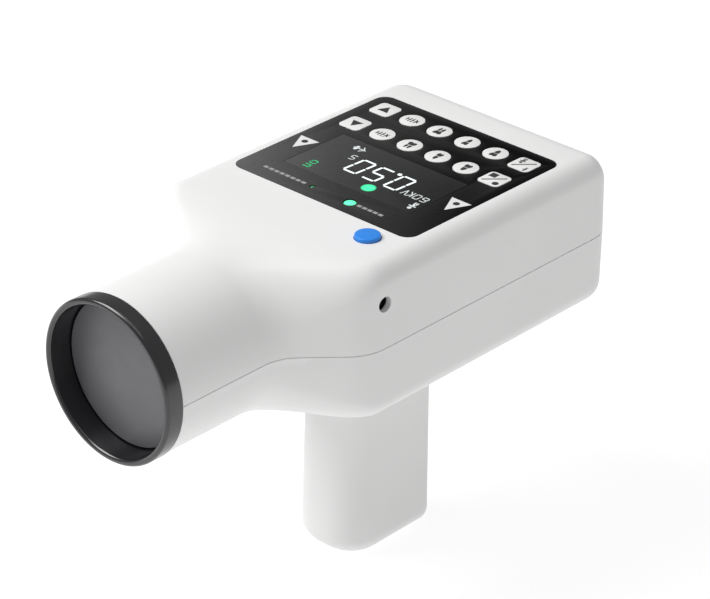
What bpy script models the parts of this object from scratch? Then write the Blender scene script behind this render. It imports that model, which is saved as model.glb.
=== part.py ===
"""Handheld intraoral dental x-ray unit: camera-style body, round beam cone and battery grip.

+Z is up, the beam leaves along -Y, and +X is the operator's left when they stand behind the unit.
The origin is the centre of the grip's flat base, on the surface that the unit stands on.
"""

import math

import bmesh
import bpy
from mathutils import Matrix, Vector

MM = 0.001
GAP = 0.3 * MM

# Overall body.
FRONT_Y = -134.0 * MM
BACK_Y = 86.0 * MM
TOP_Z = 155.0 * MM
FLOOR_Z = 92.3 * MM
HALF_WIDTH = 55.0 * MM
AXIS_Z = 122.3 * MM
WALL = 2.5 * MM
EDGE_R = 8.0 * MM
BACK_CORNER_R = 13.5 * MM
BACK_TOP_R = 14.5 * MM
BACK_FLOOR_R = 8.0 * MM
SIDE_DRAFT = 0.010

# Cone and the shoulders that join it to the body.
CONE_R = 31.8 * MM
CONE_END_Y = -86.0 * MM
NECK_FILLET_R = 18.0 * MM
SHOULDER_R = 20.0 * MM
SQUARE_Y = -47.0 * MM
FRONT_STEP = 6.0 * MM

# Rim of the cone and its window.
RIM_R = 32.1 * MM
RIM_LENGTH = 7.3 * MM
RIM_BORE_R = 29.1 * MM
RIM_LIP_R = 1.35 * MM
SPIGOT_R = 30.3 * MM
SPIGOT_END = 14.5 * MM
LEDGE_R = 26.0 * MM
WINDOW_DEPTH = 10.0 * MM
WINDOW_THICK = 1.5 * MM

# Control panel in its shallow recess in the top face.
PANEL_HALF_X = 45.6 * MM
PANEL_Y = (-25.0 * MM, 61.7 * MM)
PANEL_R = 5.0 * MM
PANEL_THICK = 0.9 * MM
RECESS_Z = 153.8 * MM
WINDOW_X = (-32.8 * MM, 31.8 * MM)
WINDOW_Y = (-9.3 * MM, 23.8 * MM)
KEY_PITCH = 14.35 * MM
KEY_COLUMNS = 6
KEY_ROWS_Y = (51.3 * MM, 34.0 * MM)
KEY_R = 5.1 * MM
KEY_SQUARE_R = 2.0 * MM
KEY_TOP_Z = TOP_Z + 0.1 * MM
KEY_THICK = 0.8 * MM
KEY_STEM_R = 1.8 * MM
KEY_STEM_Z = 151.0 * MM
CLEARANCE = 0.6 * MM
DISPLAY_LEDGE = 1.3 * MM
DISPLAY_SLIT = 0.2 * MM
LED_Y = -17.5 * MM
READY_LED = (9.4 * MM, 2.5 * MM)
EXPOSURE_LED = (-9.8 * MM, 1.0 * MM)

# Exposure button.
BUTTON_X = 33.6 * MM
BUTTON_Y = -34.0 * MM
BUTTON_R = 4.9 * MM
BUTTON_PROUD = 1.6 * MM
BUTTON_EDGE_R = 0.5 * MM
BUTTON_EDGE_STEPS = 4
BUTTON_FLANGE_R = 6.8 * MM
BUTTON_FLANGE = 1.2 * MM
SPRING_R = 5.4 * MM
SPRING_WIRE_R = 0.25 * MM
SPRING_Z = (148.1 * MM, 150.6 * MM)
SPRING_TURNS = 2
SPRING_POINTS = 12

# Control board and what stands on it.
BOARD_HALF_X = 41.4 * MM
BOARD_Y = (-43.0 * MM, 70.0 * MM)
BOARD_Z = (146.0 * MM, 147.6 * MM)
BOARD_R = 3.0 * MM
BOARD_POST_X = 38.5 * MM
BOARD_POST_YS = (-19.0 * MM, 13.0 * MM, 66.0 * MM)
BOARD_POST_R = 2.2 * MM
MODULE_MARGIN = 1.8 * MM
MODULE_SETBACK = 0.4 * MM
BUZZER = (4.5 * MM, 6.0 * MM, 64.5 * MM)
SWITCH_HALF = 3.0 * MM
SWITCH_HEIGHT = 1.5 * MM
PLUNGER_R = 1.6 * MM
PLUNGER_TOP = 2.0 * MM
KEY_SWITCH_R = 2.6 * MM
KEY_SWITCH_Z = 150.4 * MM

# Charging jack behind a hole in the left-hand wall.
JACK_Y = -47.2 * MM
JACK_Z = 140.4 * MM
JACK_HOLE_R = 3.1 * MM
JACK_BORE_R = 3.1 * MM
JACK_BORE_DEPTH = 9.5 * MM
JACK_PIN_R = 1.0 * MM
JACK_R = 5.0 * MM
JACK_LENGTH = 12.0 * MM
JACK_SETBACK = 1.9 * MM
JACK_BOSS_R = 4.6 * MM
JACK_BOSS_START = 2.2 * MM
JACK_PIN_TIP = 2.0 * MM

# Grip.
GRIP_HALF_X = 17.7 * MM
GRIP_FRONT_Y = -24.3 * MM
GRIP_BACK_Y = 21.7 * MM
GRIP_LEAN = 3.0 * MM
GRIP_NOSE = 16.0 * MM
GRIP_NOSE_POWER = 2.4
GRIP_NOSE_STEPS = 15
GRIP_BACK_R = 3.5 * MM
GRIP_BACK_STEPS = 4
GRIP_BASE_R = 7.8 * MM
LEAST_R = 0.8 * MM
GRIP_TOP_Z = FLOOR_Z - GAP
COLLAR_R = 5.0 * MM
GRIP_CAVITY_X = 14.2 * MM
GRIP_CAVITY_Y = (-18.0 * MM, 19.5 * MM)
GRIP_CAVITY_Z = 3.6 * MM
GRIP_CAVITY_R = 8.0 * MM
NECK_WALL = 2.0 * MM
NECK_R = 5.0 * MM
NECK_ROOT = 0.6 * MM
FLANGE_Z = (99.4 * MM, 102.4 * MM)
FLANGE_HALF_X = 26.0 * MM
FLANGE_Y = (-30.0 * MM, 31.0 * MM)
FLANGE_R = 4.0 * MM
PAD_MARGIN = (0.5 * MM, 1.0 * MM)
CELL_R = 9.15 * MM
CELL_Z = (9.0 * MM, 74.0 * MM)
CELL_SPACING = 0.2 * MM
CONTACT_BOARD_THICK = 1.6 * MM

# X-ray generator: a cast case with the tube at the front and the transformer behind it.
CASE_HALF_X = 38.0 * MM
CASE_Y = (-52.0 * MM, 58.0 * MM)
CASE_Z = (106.5 * MM, 141.5 * MM)
CASE_WALL = 3.0 * MM
CASE_R = 4.0 * MM
CASE_POST_X = 33.0 * MM
CASE_POST_YS = (-45.0 * MM, 50.0 * MM)
CASE_POST_R = 3.5 * MM
LID_THICK = 2.5 * MM
PORT_R = 9.0 * MM
COLLIMATOR_R = 22.0 * MM
COLLIMATOR_BORE_R = 20.0 * MM
COLLIMATOR_START = 2.0 * MM
APERTURE_BORE_R = 8.0 * MM
APERTURE_THICK = 3.0 * MM
FILTER_THICK = 1.5 * MM
FILTER_INSET = 0.7 * MM
TUBE_Y = -34.0 * MM
SHIELD_R = 15.0 * MM
SHIELD_WALL = 3.0 * MM
SHIELD_HALF = 32.0 * MM
SHIELD_PORT_R = 6.0 * MM
ENVELOPE_R = 11.0 * MM
ENVELOPE_HALF = 28.0 * MM
GLASS_WALL = 1.2 * MM
SEAL_X = (22.0 * MM, 31.0 * MM)
ANODE_R = 6.0 * MM
ANODE_TIP = 3.0 * MM
ANODE_ANGLE = 20.0
CATHODE_R = 4.0 * MM
CATHODE_TIP = 8.0 * MM
CORE_HALF_X = 30.0 * MM
CORE_LIMB_X = 8.0 * MM
CORE_WINDOW_X = 22.0 * MM
CORE_WINDOW_Z = (115.5 * MM, 133.5 * MM)
CORE_Y = (12.0 * MM, 38.0 * MM)
CORE_Z = (110.0 * MM, 139.0 * MM)
COIL_DEPTH = 8.0 * MM
COIL_R = 5.0 * MM
MULTIPLIER_HALF_X = 33.0 * MM
MULTIPLIER_Y = (50.6 * MM, 52.2 * MM)
CAPACITORS = 5
CAPACITOR_PITCH = 12.5 * MM
CAPACITOR_HALF_X = 4.0 * MM
CAPACITOR_Y = 47.0 * MM
CAPACITOR_Z = (116.0 * MM, 130.0 * MM)

# Fasteners: the same M3 pan-head screw in two lengths.
SCREW_R = 1.45 * MM
SCREW_HOLE_R = 1.75 * MM
SCREW_HEAD_R = 2.75 * MM
SCREW_HEAD = 2.0 * MM
BOSS_X = 45.5 * MM
BOSS_YS = (-30.0 * MM, 66.0 * MM)
BOSS_R = 3.5 * MM
FOOT_BOSS_R = 5.0 * MM
COUNTERBORE_Z = 103.0 * MM
BOSS_HOLE_TOP = 136.0 * MM
HOUSING_SCREW_TIP = 133.0 * MM
GRIP_SCREW_TIP = 2.5 * MM
ROOT = 0.5 * MM
GRIP_SCREW_X = 21.0 * MM
GRIP_SCREW_YS = (-25.0 * MM, 26.0 * MM)

ALONG_X = Matrix.Rotation(math.radians(90.0), 4, "Y")
ALONG_MINUS_Y = Matrix.Rotation(math.radians(90.0), 4, "X")

COLOURS = {
    "white_shell": ((0.86, 0.86, 0.85), 0.38, 0.0),
    "rim_grey": ((0.055, 0.055, 0.06), 0.25, 0.0),
    "window_grey": ((0.13, 0.13, 0.135), 0.35, 0.0),
    "panel_black": ((0.012, 0.012, 0.014), 0.2, 0.0),
    "display_smoke": ((0.02, 0.022, 0.024), 0.1, 0.0),
    "key_white": ((0.85, 0.85, 0.84), 0.4, 0.0),
    "button_blue": ((0.02, 0.25, 0.8), 0.3, 0.0),
    "led_green": ((0.06, 0.8, 0.3), 0.2, 0.0),
    "board_green": ((0.02, 0.16, 0.07), 0.5, 0.0),
    "black_plastic": ((0.02, 0.02, 0.02), 0.5, 0.0),
    "steel": ((0.55, 0.56, 0.57), 0.35, 1.0),
    "aluminium": ((0.72, 0.73, 0.74), 0.4, 1.0),
    "lead_grey": ((0.25, 0.26, 0.28), 0.6, 1.0),
    "copper": ((0.72, 0.4, 0.24), 0.35, 1.0),
    "tube_glass": ((0.8, 0.86, 0.84), 0.05, 0.0),
    "cell_wrap": ((0.05, 0.2, 0.42), 0.35, 0.0),
}


def clear_scene():
    for obj in list(bpy.data.objects):
        bpy.data.objects.remove(obj, do_unlink=True)


def new_collection(name):
    collection = bpy.data.collections.new(name)
    bpy.context.scene.collection.children.link(collection)
    return collection


clear_scene()
PARTS = new_collection("dental_xray_unit")
CUTTERS = new_collection("cutters")


def make_material(name):
    colour, roughness, metallic = COLOURS[name]
    material = bpy.data.materials.new(name)
    material.use_nodes = True
    shader = material.node_tree.nodes["Principled BSDF"]
    shader.inputs["Base Color"].default_value = (*colour, 1.0)
    shader.inputs["Roughness"].default_value = roughness
    shader.inputs["Metallic"].default_value = metallic
    return material


def add_object(name, mesh, material=None, place=None):
    """A part if it has a material, or else a hidden cutter."""
    obj = bpy.data.objects.new(name, mesh)
    if place is not None:
        obj.matrix_world = place
    if material is None:
        CUTTERS.objects.link(obj)
        obj.hide_render = True
        obj.display_type = "WIRE"
    else:
        PARTS.objects.link(obj)
        mesh.materials.append(make_material(material))
        obj.data.materials[0].name = f"{name}_{material}"
    return obj


def mesh_from(bm, name):
    bmesh.ops.recalc_face_normals(bm, faces=bm.faces)
    mesh = bpy.data.meshes.new(name)
    bm.to_mesh(mesh)
    bm.free()
    return mesh


def block(name, xs, ys, zs, material=None, corner_r=0.0, corner_steps=4):
    """A box between its limits, its four upright edges rounded if corner_r is given."""
    size = Vector((xs[1] - xs[0], ys[1] - ys[0], zs[1] - zs[0]))
    centre = Vector((xs[1] + xs[0], ys[1] + ys[0], zs[1] + zs[0])) / 2
    bm = bmesh.new()
    bmesh.ops.create_cube(bm, size=1.0, matrix=Matrix.LocRotScale(centre, None, size))
    if corner_r:
        upright = [e for e in bm.edges if abs(e.verts[0].co.z - e.verts[1].co.z) > size.z / 2]
        bmesh.ops.bevel(bm, geom=upright, offset=corner_r, segments=corner_steps, affect="EDGES", profile=0.5)
    return add_object(name, mesh_from(bm, name), material)


def rod(name, radius, centre_xy, zs, material=None, steps=20):
    """An upright solid cylinder."""
    middle = Vector((centre_xy[0], centre_xy[1], (zs[0] + zs[1]) / 2))
    bm = bmesh.new()
    bmesh.ops.create_cone(
        bm,
        cap_ends=True,
        segments=steps,
        radius1=radius,
        radius2=radius,
        depth=zs[1] - zs[0],
        matrix=Matrix.Translation(middle),
    )
    return add_object(name, mesh_from(bm, name), material)


def turned(name, profile, place, material=None, steps=24, closed=False):
    """A profile of (radius, height) points, run down its outer side, turned about the local Z axis."""
    bm = bmesh.new()
    points = [bm.verts.new((radius, 0.0, height)) for radius, height in profile]
    for first, second in zip(points, points[1:]):
        bm.edges.new((first, second))
    if closed:
        bm.edges.new((points[-1], points[0]))
    mesh = bpy.data.meshes.new(name)
    bm.to_mesh(mesh)
    bm.free()
    obj = add_object(name, mesh, material, place)
    screw = obj.modifiers.new("turn", "SCREW")
    screw.axis = "Z"
    screw.steps = steps
    screw.render_steps = steps
    screw.use_merge_vertices = True
    screw.merge_threshold = 1e-6
    screw.use_normal_calculate = False
    return obj


def at(x, y, z, turn=None):
    place = Matrix.Translation((x, y, z))
    return place @ turn if turn is not None else place


def loft(name, rings, material=None):
    """A closed solid through a row of rings that have the same number of points."""
    bm = bmesh.new()
    rows = [[bm.verts.new(point) for point in ring] for ring in rings]
    for near, far in zip(rows, rows[1:]):
        for i in range(len(near)):
            j = (i + 1) % len(near)
            bm.faces.new((near[i], near[j], far[j], far[i]))
    bm.faces.new(rows[0])
    bm.faces.new(rows[-1])
    return add_object(name, mesh_from(bm, name), material)


def boolean(obj, tool, operation):
    modifier = obj.modifiers.new(f"{operation.lower()}_{tool.name}", "BOOLEAN")
    modifier.operation = operation
    modifier.solver = "EXACT"
    modifier.object = tool


def cut(obj, *tools):
    for tool in tools:
        boolean(obj, tool, "DIFFERENCE")


def add(obj, *tools):
    for tool in tools:
        boolean(obj, tool, "UNION")


def smooth_step(low, high, value):
    t = min(max((value - low) / (high - low), 0.0), 1.0)
    return t * t * (3.0 - 2.0 * t)


def bow(radius, offset):
    """How far along a round of this radius is from its tangent point's level, offset away from it."""
    return math.sqrt(max(radius * radius - offset * offset, 0.0))


def half_width(y, inset):
    """The body's outline seen from above: cone, concave neck, 45 degree shoulder, side, back corner."""
    diagonal = math.sqrt(0.5)
    neck_r = NECK_FILLET_R + inset
    shoulder_r = SHOULDER_R - inset
    back_r = BACK_CORNER_R - inset
    neck_x = CONE_R + NECK_FILLET_R
    shoulder_x = HALF_WIDTH - SHOULDER_R
    neck_end = (neck_x - neck_r * diagonal, CONE_END_Y + neck_r * diagonal)
    outer_neck_y = CONE_END_Y + NECK_FILLET_R * diagonal
    outer_neck_x = neck_x - NECK_FILLET_R * diagonal
    outer_shoulder_x = shoulder_x + SHOULDER_R * diagonal
    shoulder_y = outer_neck_y + (outer_shoulder_x - outer_neck_x) + SHOULDER_R * diagonal
    shoulder_start = shoulder_y - shoulder_r * diagonal
    if y <= CONE_END_Y:
        return CONE_R - inset
    if y <= neck_end[1]:
        return neck_x - bow(neck_r, y - CONE_END_Y)
    if y <= shoulder_start:
        return neck_end[0] + (y - neck_end[1])
    if y <= shoulder_y:
        return shoulder_x + bow(shoulder_r, shoulder_y - y)
    back_corner_y = BACK_Y - BACK_CORNER_R
    if y <= back_corner_y:
        return HALF_WIDTH - inset
    return HALF_WIDTH - BACK_CORNER_R + bow(back_r, y - back_corner_y)


def top_height(y, inset):
    rise = smooth_step(CONE_END_Y, SQUARE_Y, y)
    height = CONE_R + rise * (TOP_Z - AXIS_Z - CONE_R) - inset
    over = y - (BACK_Y - BACK_TOP_R)
    return height if over <= 0 else height - (BACK_TOP_R - inset) + bow(BACK_TOP_R - inset, over)


def floor_depth(y, inset):
    rise = smooth_step(CONE_END_Y, SQUARE_Y, y)
    depth = CONE_R + rise * (AXIS_Z - FLOOR_Z - CONE_R) - inset
    over = y - (BACK_Y - BACK_FLOOR_R)
    return depth if over <= 0 else depth - (BACK_FLOOR_R - inset) + bow(BACK_FLOOR_R - inset, over)


def quarter(width, height, edge_r, square, steps):
    """From (width, 0) to (0, height): a quarter round that turns into a rounded corner."""
    side_steps, arc_steps, top_steps = steps
    total = sum(steps)
    side = height - edge_r
    top = width - edge_r
    corner = [(width, side * i / side_steps) for i in range(side_steps)]
    for i in range(arc_steps):
        angle = math.pi / 2 * i / arc_steps
        corner.append((top + edge_r * math.cos(angle), side + edge_r * math.sin(angle)))
    corner += [(top * (1 - i / top_steps), height) for i in range(top_steps + 1)]
    points = []
    for i, (x, z) in enumerate(corner):
        angle = math.pi / 2 * i / total
        round_x = width * math.cos(angle)
        round_z = height * math.sin(angle)
        points.append((round_x + square * (x - round_x), round_z + square * (z - round_z)))
    return points


def half_section(y, inset, steps, upward, seam=0.0):
    """One half of the body's section at y, from its +X side over to its -X side."""
    square = smooth_step(CONE_END_Y, SQUARE_Y, y)
    reach = top_height(y, inset) if upward else floor_depth(y, inset)
    width = half_width(y, inset)
    edge_r = EDGE_R - inset
    right = quarter(width, reach, edge_r, square, steps)
    both = right + [(-x, z) for x, z in reversed(right[:-1])]
    sign = 1.0 if upward else -1.0
    ring = []
    for x, z in both:
        drafted = x * (1.0 - SIDE_DRAFT * square * z / reach)
        ring.append((drafted, y, AXIS_Z + sign * max(z, seam)))
    return ring


def body_stations(inset, front_y, neck_steps, back_steps):
    """Where the body's sections are taken, close together only where the outline bends."""
    ys = [front_y, CONE_END_Y]
    count = round((SQUARE_Y - CONE_END_Y) / neck_steps)
    ys += [CONE_END_Y + (SQUARE_Y - CONE_END_Y) * i / count for i in range(1, count + 1)]
    back_y = BACK_Y - BACK_CORNER_R
    back_r = BACK_CORNER_R - inset
    ys += [back_y + back_r * math.sin(math.pi / 2 * i / back_steps) for i in range(back_steps + 1)]
    return ys


def half_shell(name, upward):
    """One moulded half of the body, hollowed to its wall, open at the cone's end."""
    front_y = FRONT_Y + RIM_LENGTH + GAP
    ys = body_stations(0.0, front_y, 5.0 * MM, 5)
    rings = [half_section(y, 0.0, (2, 5, 3), upward, GAP / 2) for y in ys]
    shell = loft(name, rings, "white_shell")
    inner = []
    for y in body_stations(WALL, FRONT_Y - FRONT_STEP, 9.0 * MM, 3):
        over = half_section(y, WALL, (1, 3, 2), True)
        under = half_section(y, WALL, (1, 3, 2), False)
        inner.append(over + list(reversed(under))[1:-1])
    cut(shell, loft(f"{name}_cavity", inner))
    radius = SPIGOT_R + GAP
    depth = SPIGOT_END + GAP
    rebate = [(0.0, FRONT_STEP), (radius, FRONT_STEP), (radius, -depth), (0.0, -depth)]
    cut(shell, turned(f"{name}_rebate", rebate, at(0.0, FRONT_Y, AXIS_Z, ALONG_MINUS_Y), steps=40))
    return shell


def key_places():
    """The twelve keys: six columns in two rows, the end columns square."""
    places = []
    for row, y in enumerate(KEY_ROWS_Y):
        for column in range(KEY_COLUMNS):
            x = (column - (KEY_COLUMNS - 1) / 2) * KEY_PITCH
            number = row * KEY_COLUMNS + column + 1
            places.append((f"key_{number:02d}", x, y, column in (0, KEY_COLUMNS - 1)))
    return places


def upper_housing():
    shell = half_shell("upper_housing", True)
    ceiling = TOP_Z - WALL
    for i, (x, y) in enumerate(boss_places()):
        add(shell, rod(f"upper_boss_{i}", BOSS_R, (x, y), (AXIS_Z + GAP / 2, ceiling + ROOT)))
        cut(shell, rod(f"upper_boss_hole_{i}", SCREW_HOLE_R, (x, y), (AXIS_Z - MM, BOSS_HOLE_TOP), steps=12))
    posts = [(side * BOARD_POST_X, y) for side in (-1, 1) for y in BOARD_POST_YS]
    for i, (x, y) in enumerate(posts):
        add(shell, rod(f"board_post_{i}", BOARD_POST_R, (x, y), (BOARD_Z[1] + GAP, ceiling + ROOT), steps=12))
    recess_x = (-PANEL_HALF_X - GAP, PANEL_HALF_X + GAP)
    recess_y = (PANEL_Y[0] - GAP, PANEL_Y[1] + GAP)
    recess_z = (RECESS_Z, TOP_Z + MM)
    cut(shell, block("panel_recess", recess_x, recess_y, recess_z, None, PANEL_R + GAP))
    through = (ceiling - MM, TOP_Z + MM)
    for name, x, y, _square in key_places():
        cut(shell, rod(f"{name}_stem_hole", KEY_STEM_R + CLEARANCE, (x, y), through, steps=12))
    display_x = (WINDOW_X[0] + DISPLAY_LEDGE, WINDOW_X[1] - DISPLAY_LEDGE)
    display_y = (WINDOW_Y[0] + DISPLAY_LEDGE, WINDOW_Y[1] - DISPLAY_LEDGE)
    cut(shell, block("display_opening", display_x, display_y, through))
    for name, (x, radius) in (("ready", READY_LED), ("exposure", EXPOSURE_LED)):
        cut(shell, rod(f"{name}_led_hole", radius + CLEARANCE, (x, LED_Y), through, steps=16))
    cut(shell, rod("button_hole", BUTTON_R + GAP, (BUTTON_X, BUTTON_Y), through, steps=24))
    jack_line = at(HALF_WIDTH, JACK_Y, JACK_Z, ALONG_X)
    start = -JACK_BOSS_START
    end = -(WALL + JACK_SETBACK - GAP)
    boss = [(0.0, start), (JACK_BOSS_R, start), (JACK_BOSS_R, end), (0.0, end)]
    add(shell, turned("jack_boss", boss, jack_line, steps=16))
    beyond = end - MM
    hole = [(0.0, MM), (JACK_HOLE_R, MM), (JACK_HOLE_R, beyond), (0.0, beyond)]
    cut(shell, turned("jack_hole", hole, jack_line, steps=24))


def boss_places():
    return [(side * BOSS_X, y) for side in (-1, 1) for y in BOSS_YS]


def grip_screw_places():
    return [(side * GRIP_SCREW_X, y) for side in (-1, 1) for y in GRIP_SCREW_YS]


def neck_limits(clearance):
    """The grip's neck where it passes up through the body's floor."""
    x = GRIP_CAVITY_X + NECK_WALL + clearance
    return (-x, x), (GRIP_CAVITY_Y[0] - NECK_WALL - clearance, GRIP_CAVITY_Y[1] + NECK_WALL + clearance)


def lower_housing():
    shell = half_shell("lower_housing", False)
    inside_floor = FLOOR_Z + WALL - MM
    pad_x = FLANGE_HALF_X + PAD_MARGIN[0]
    pad_y = (FLANGE_Y[0] - PAD_MARGIN[1], FLANGE_Y[1] + PAD_MARGIN[1])
    add(shell, block("grip_pad", (-pad_x, pad_x), pad_y, (inside_floor, FLANGE_Z[0] - GAP)))
    for i, (x, y) in enumerate(boss_places()):
        add(shell, rod(f"foot_boss_{i}", FOOT_BOSS_R, (x, y), (inside_floor, AXIS_Z - GAP / 2)))
        cut(shell, rod(f"foot_hole_{i}", SCREW_HOLE_R, (x, y), (FLOOR_Z - MM, AXIS_Z + MM), steps=12))
        counterbore_z = (FLOOR_Z - MM, COUNTERBORE_Z)
        cut(shell, rod(f"counterbore_{i}", SCREW_HEAD_R + GAP, (x, y), counterbore_z, steps=16))
    for i, (x, y) in enumerate([(side * CASE_POST_X, y) for side in (-1, 1) for y in CASE_POST_YS]):
        add(shell, rod(f"case_post_{i}", CASE_POST_R, (x, y), (inside_floor, CASE_Z[0] - GAP), steps=16))
    neck_x, neck_y = neck_limits(GAP)
    cut(shell, block("neck_hole", neck_x, neck_y, (FLOOR_Z - MM, FLANGE_Z[0] + MM), None, NECK_R + GAP))
    hole_z = (FLOOR_Z + GRIP_SCREW_TIP - ROOT, FLANGE_Z[0] + MM)
    for i, (x, y) in enumerate(grip_screw_places()):
        cut(shell, rod(f"pad_hole_{i}", SCREW_HOLE_R, (x, y), hole_z, steps=12))


def grip_ring(z, inset, front_y):
    """The grip's section at height z: one full curve across its front, two tight rear corners."""
    ring = []
    for i in range(GRIP_NOSE_STEPS + 1):
        angle = math.pi + math.pi * i / GRIP_NOSE_STEPS
        across = abs(math.cos(angle)) ** (2 / GRIP_NOSE_POWER)
        along = abs(math.sin(angle)) ** (2 / GRIP_NOSE_POWER)
        x = math.copysign((GRIP_HALF_X - inset) * across, math.cos(angle))
        ring.append((x, front_y + GRIP_NOSE - (GRIP_NOSE - inset) * along, z))
    r = max(GRIP_BACK_R - inset, LEAST_R)
    y = GRIP_BACK_Y - inset - r
    for side, start in ((1, 0), (-1, 90)):
        x = side * (GRIP_HALF_X - inset - r)
        for i in range(GRIP_BACK_STEPS + 1):
            angle = math.radians(start + 90 * i / GRIP_BACK_STEPS)
            ring.append((x + r * math.cos(angle), y + r * math.sin(angle), z))
    return ring


def grip_shell():
    """The grip rounds up from its flat base, leans a little, flares at the top and carries a flange."""
    rings = []
    for angle in (0, 30, 60, 90):
        inset = GRIP_BASE_R * (1 - math.sin(math.radians(angle)))
        z = GRIP_BASE_R * (1 - math.cos(math.radians(angle)))
        rings.append(grip_ring(z, inset, GRIP_FRONT_Y))
    for angle in (0, 30, 60, 90):
        flare = COLLAR_R * (1 - math.cos(math.radians(angle)))
        z = GRIP_TOP_Z - COLLAR_R * (1 - math.sin(math.radians(angle)))
        rings.append(grip_ring(z, 0.0, GRIP_FRONT_Y + GRIP_LEAN - flare))
    grip = loft("grip_shell", rings, "white_shell")
    neck_x, neck_y = neck_limits(0.0)
    add(grip, block("grip_neck", neck_x, neck_y, (GRIP_TOP_Z - NECK_ROOT, FLANGE_Z[1] - MM), None, NECK_R))
    flange_x = (-FLANGE_HALF_X, FLANGE_HALF_X)
    add(grip, block("grip_flange", flange_x, FLANGE_Y, FLANGE_Z, None, FLANGE_R))
    cavity_x = (-GRIP_CAVITY_X, GRIP_CAVITY_X)
    cavity_z = (GRIP_CAVITY_Z, FLANGE_Z[1] + MM)
    cut(grip, block("grip_cavity", cavity_x, GRIP_CAVITY_Y, cavity_z, None, GRIP_CAVITY_R))
    through = (FLANGE_Z[0] - MM, FLANGE_Z[1] + MM)
    for i, (x, y) in enumerate(grip_screw_places()):
        cut(grip, rod(f"flange_hole_{i}", SCREW_HOLE_R, (x, y), through, steps=12))


def battery():
    cavity_x = GRIP_CAVITY_X - GAP
    cavity_y = (GRIP_CAVITY_Y[0] + GAP, GRIP_CAVITY_Y[1] - GAP)
    middle = sum(GRIP_CAVITY_Y) / 2
    for i, side in enumerate((-1, 1)):
        centre = (0.0, middle + side * (CELL_R + CELL_SPACING))
        rod(f"battery_cell_{i + 1}", CELL_R, centre, CELL_Z, "cell_wrap", steps=20)
    foot_z = (GRIP_CAVITY_Z + GAP, CELL_Z[0] - GAP)
    corner_r = GRIP_CAVITY_R - GAP
    block("battery_foot", (-cavity_x, cavity_x), cavity_y, foot_z, "black_plastic", corner_r)
    contact_z = (CELL_Z[1] + GAP, CELL_Z[1] + GAP + CONTACT_BOARD_THICK)
    block("battery_contact_board", (-cavity_x, cavity_x), cavity_y, contact_z, "board_green", corner_r)


def cone_rim():
    """The dark rim: a rounded lip, a deep bore, a ledge for the window and a spigot into the cone."""
    lip = RIM_R - RIM_LIP_R
    profile = []
    for i in range(5):
        angle = math.pi * i / 4
        profile.append((lip - RIM_LIP_R * math.cos(angle), -RIM_LIP_R + RIM_LIP_R * math.sin(angle)))
    ledge = WINDOW_DEPTH + WINDOW_THICK + GAP
    profile += [
        (RIM_R, -RIM_LENGTH),
        (SPIGOT_R, -RIM_LENGTH),
        (SPIGOT_R, -SPIGOT_END),
        (LEDGE_R, -SPIGOT_END),
        (LEDGE_R, -ledge),
        (RIM_BORE_R, -ledge),
    ]
    turned("cone_rim", profile, at(0.0, FRONT_Y, AXIS_Z, ALONG_MINUS_Y), "rim_grey", steps=40, closed=True)


def disc(name, radius, thick, y, material, steps=40, bore=0.0):
    """A flat disc across the beam with its front face at y, pierced if bore is given."""
    place = at(0.0, y, AXIS_Z, ALONG_MINUS_Y)
    if bore:
        profile = [(bore, 0.0), (radius, 0.0), (radius, -thick), (bore, -thick)]
        return turned(name, profile, place, material, steps=steps, closed=True)
    profile = [(0.0, 0.0), (radius, 0.0), (radius, -thick), (0.0, -thick)]
    return turned(name, profile, place, material, steps=steps)


def beam_path():
    disc("cone_window", RIM_BORE_R - GAP, WINDOW_THICK, FRONT_Y + WINDOW_DEPTH, "window_grey", steps=40)
    front = FRONT_Y + SPIGOT_END + COLLIMATOR_START
    back = CASE_Y[0] - GAP - APERTURE_THICK - GAP
    length = back - front
    disc("collimator_tube", COLLIMATOR_R, length, front, "aluminium", steps=20, bore=COLLIMATOR_BORE_R)
    plate_y = back + GAP
    disc("aperture_plate", COLLIMATOR_R, APERTURE_THICK, plate_y, "lead_grey", steps=20, bore=APERTURE_BORE_R)
    disc("beam_filter", PORT_R - GAP, FILTER_THICK, CASE_Y[0] + FILTER_INSET, "aluminium", steps=16)


def generator_case():
    xs = (-CASE_HALF_X, CASE_HALF_X)
    case = block("generator_case", xs, CASE_Y, CASE_Z, "aluminium", CASE_R, 3)
    inner_x = (xs[0] + CASE_WALL, xs[1] - CASE_WALL)
    inner_y = (CASE_Y[0] + CASE_WALL, CASE_Y[1] - CASE_WALL)
    cut(case, block("case_cavity", inner_x, inner_y, (CASE_Z[0] + CASE_WALL, CASE_Z[1] + MM)))
    port = [(0.0, MM), (PORT_R, MM), (PORT_R, -CASE_WALL - MM), (0.0, -CASE_WALL - MM)]
    cut(case, turned("beam_port", port, at(0.0, CASE_Y[0], AXIS_Z, ALONG_MINUS_Y), steps=16))
    lid_z = (CASE_Z[1] + GAP, CASE_Z[1] + GAP + LID_THICK)
    block("generator_lid", xs, CASE_Y, lid_z, "aluminium", CASE_R, 3)


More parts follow.
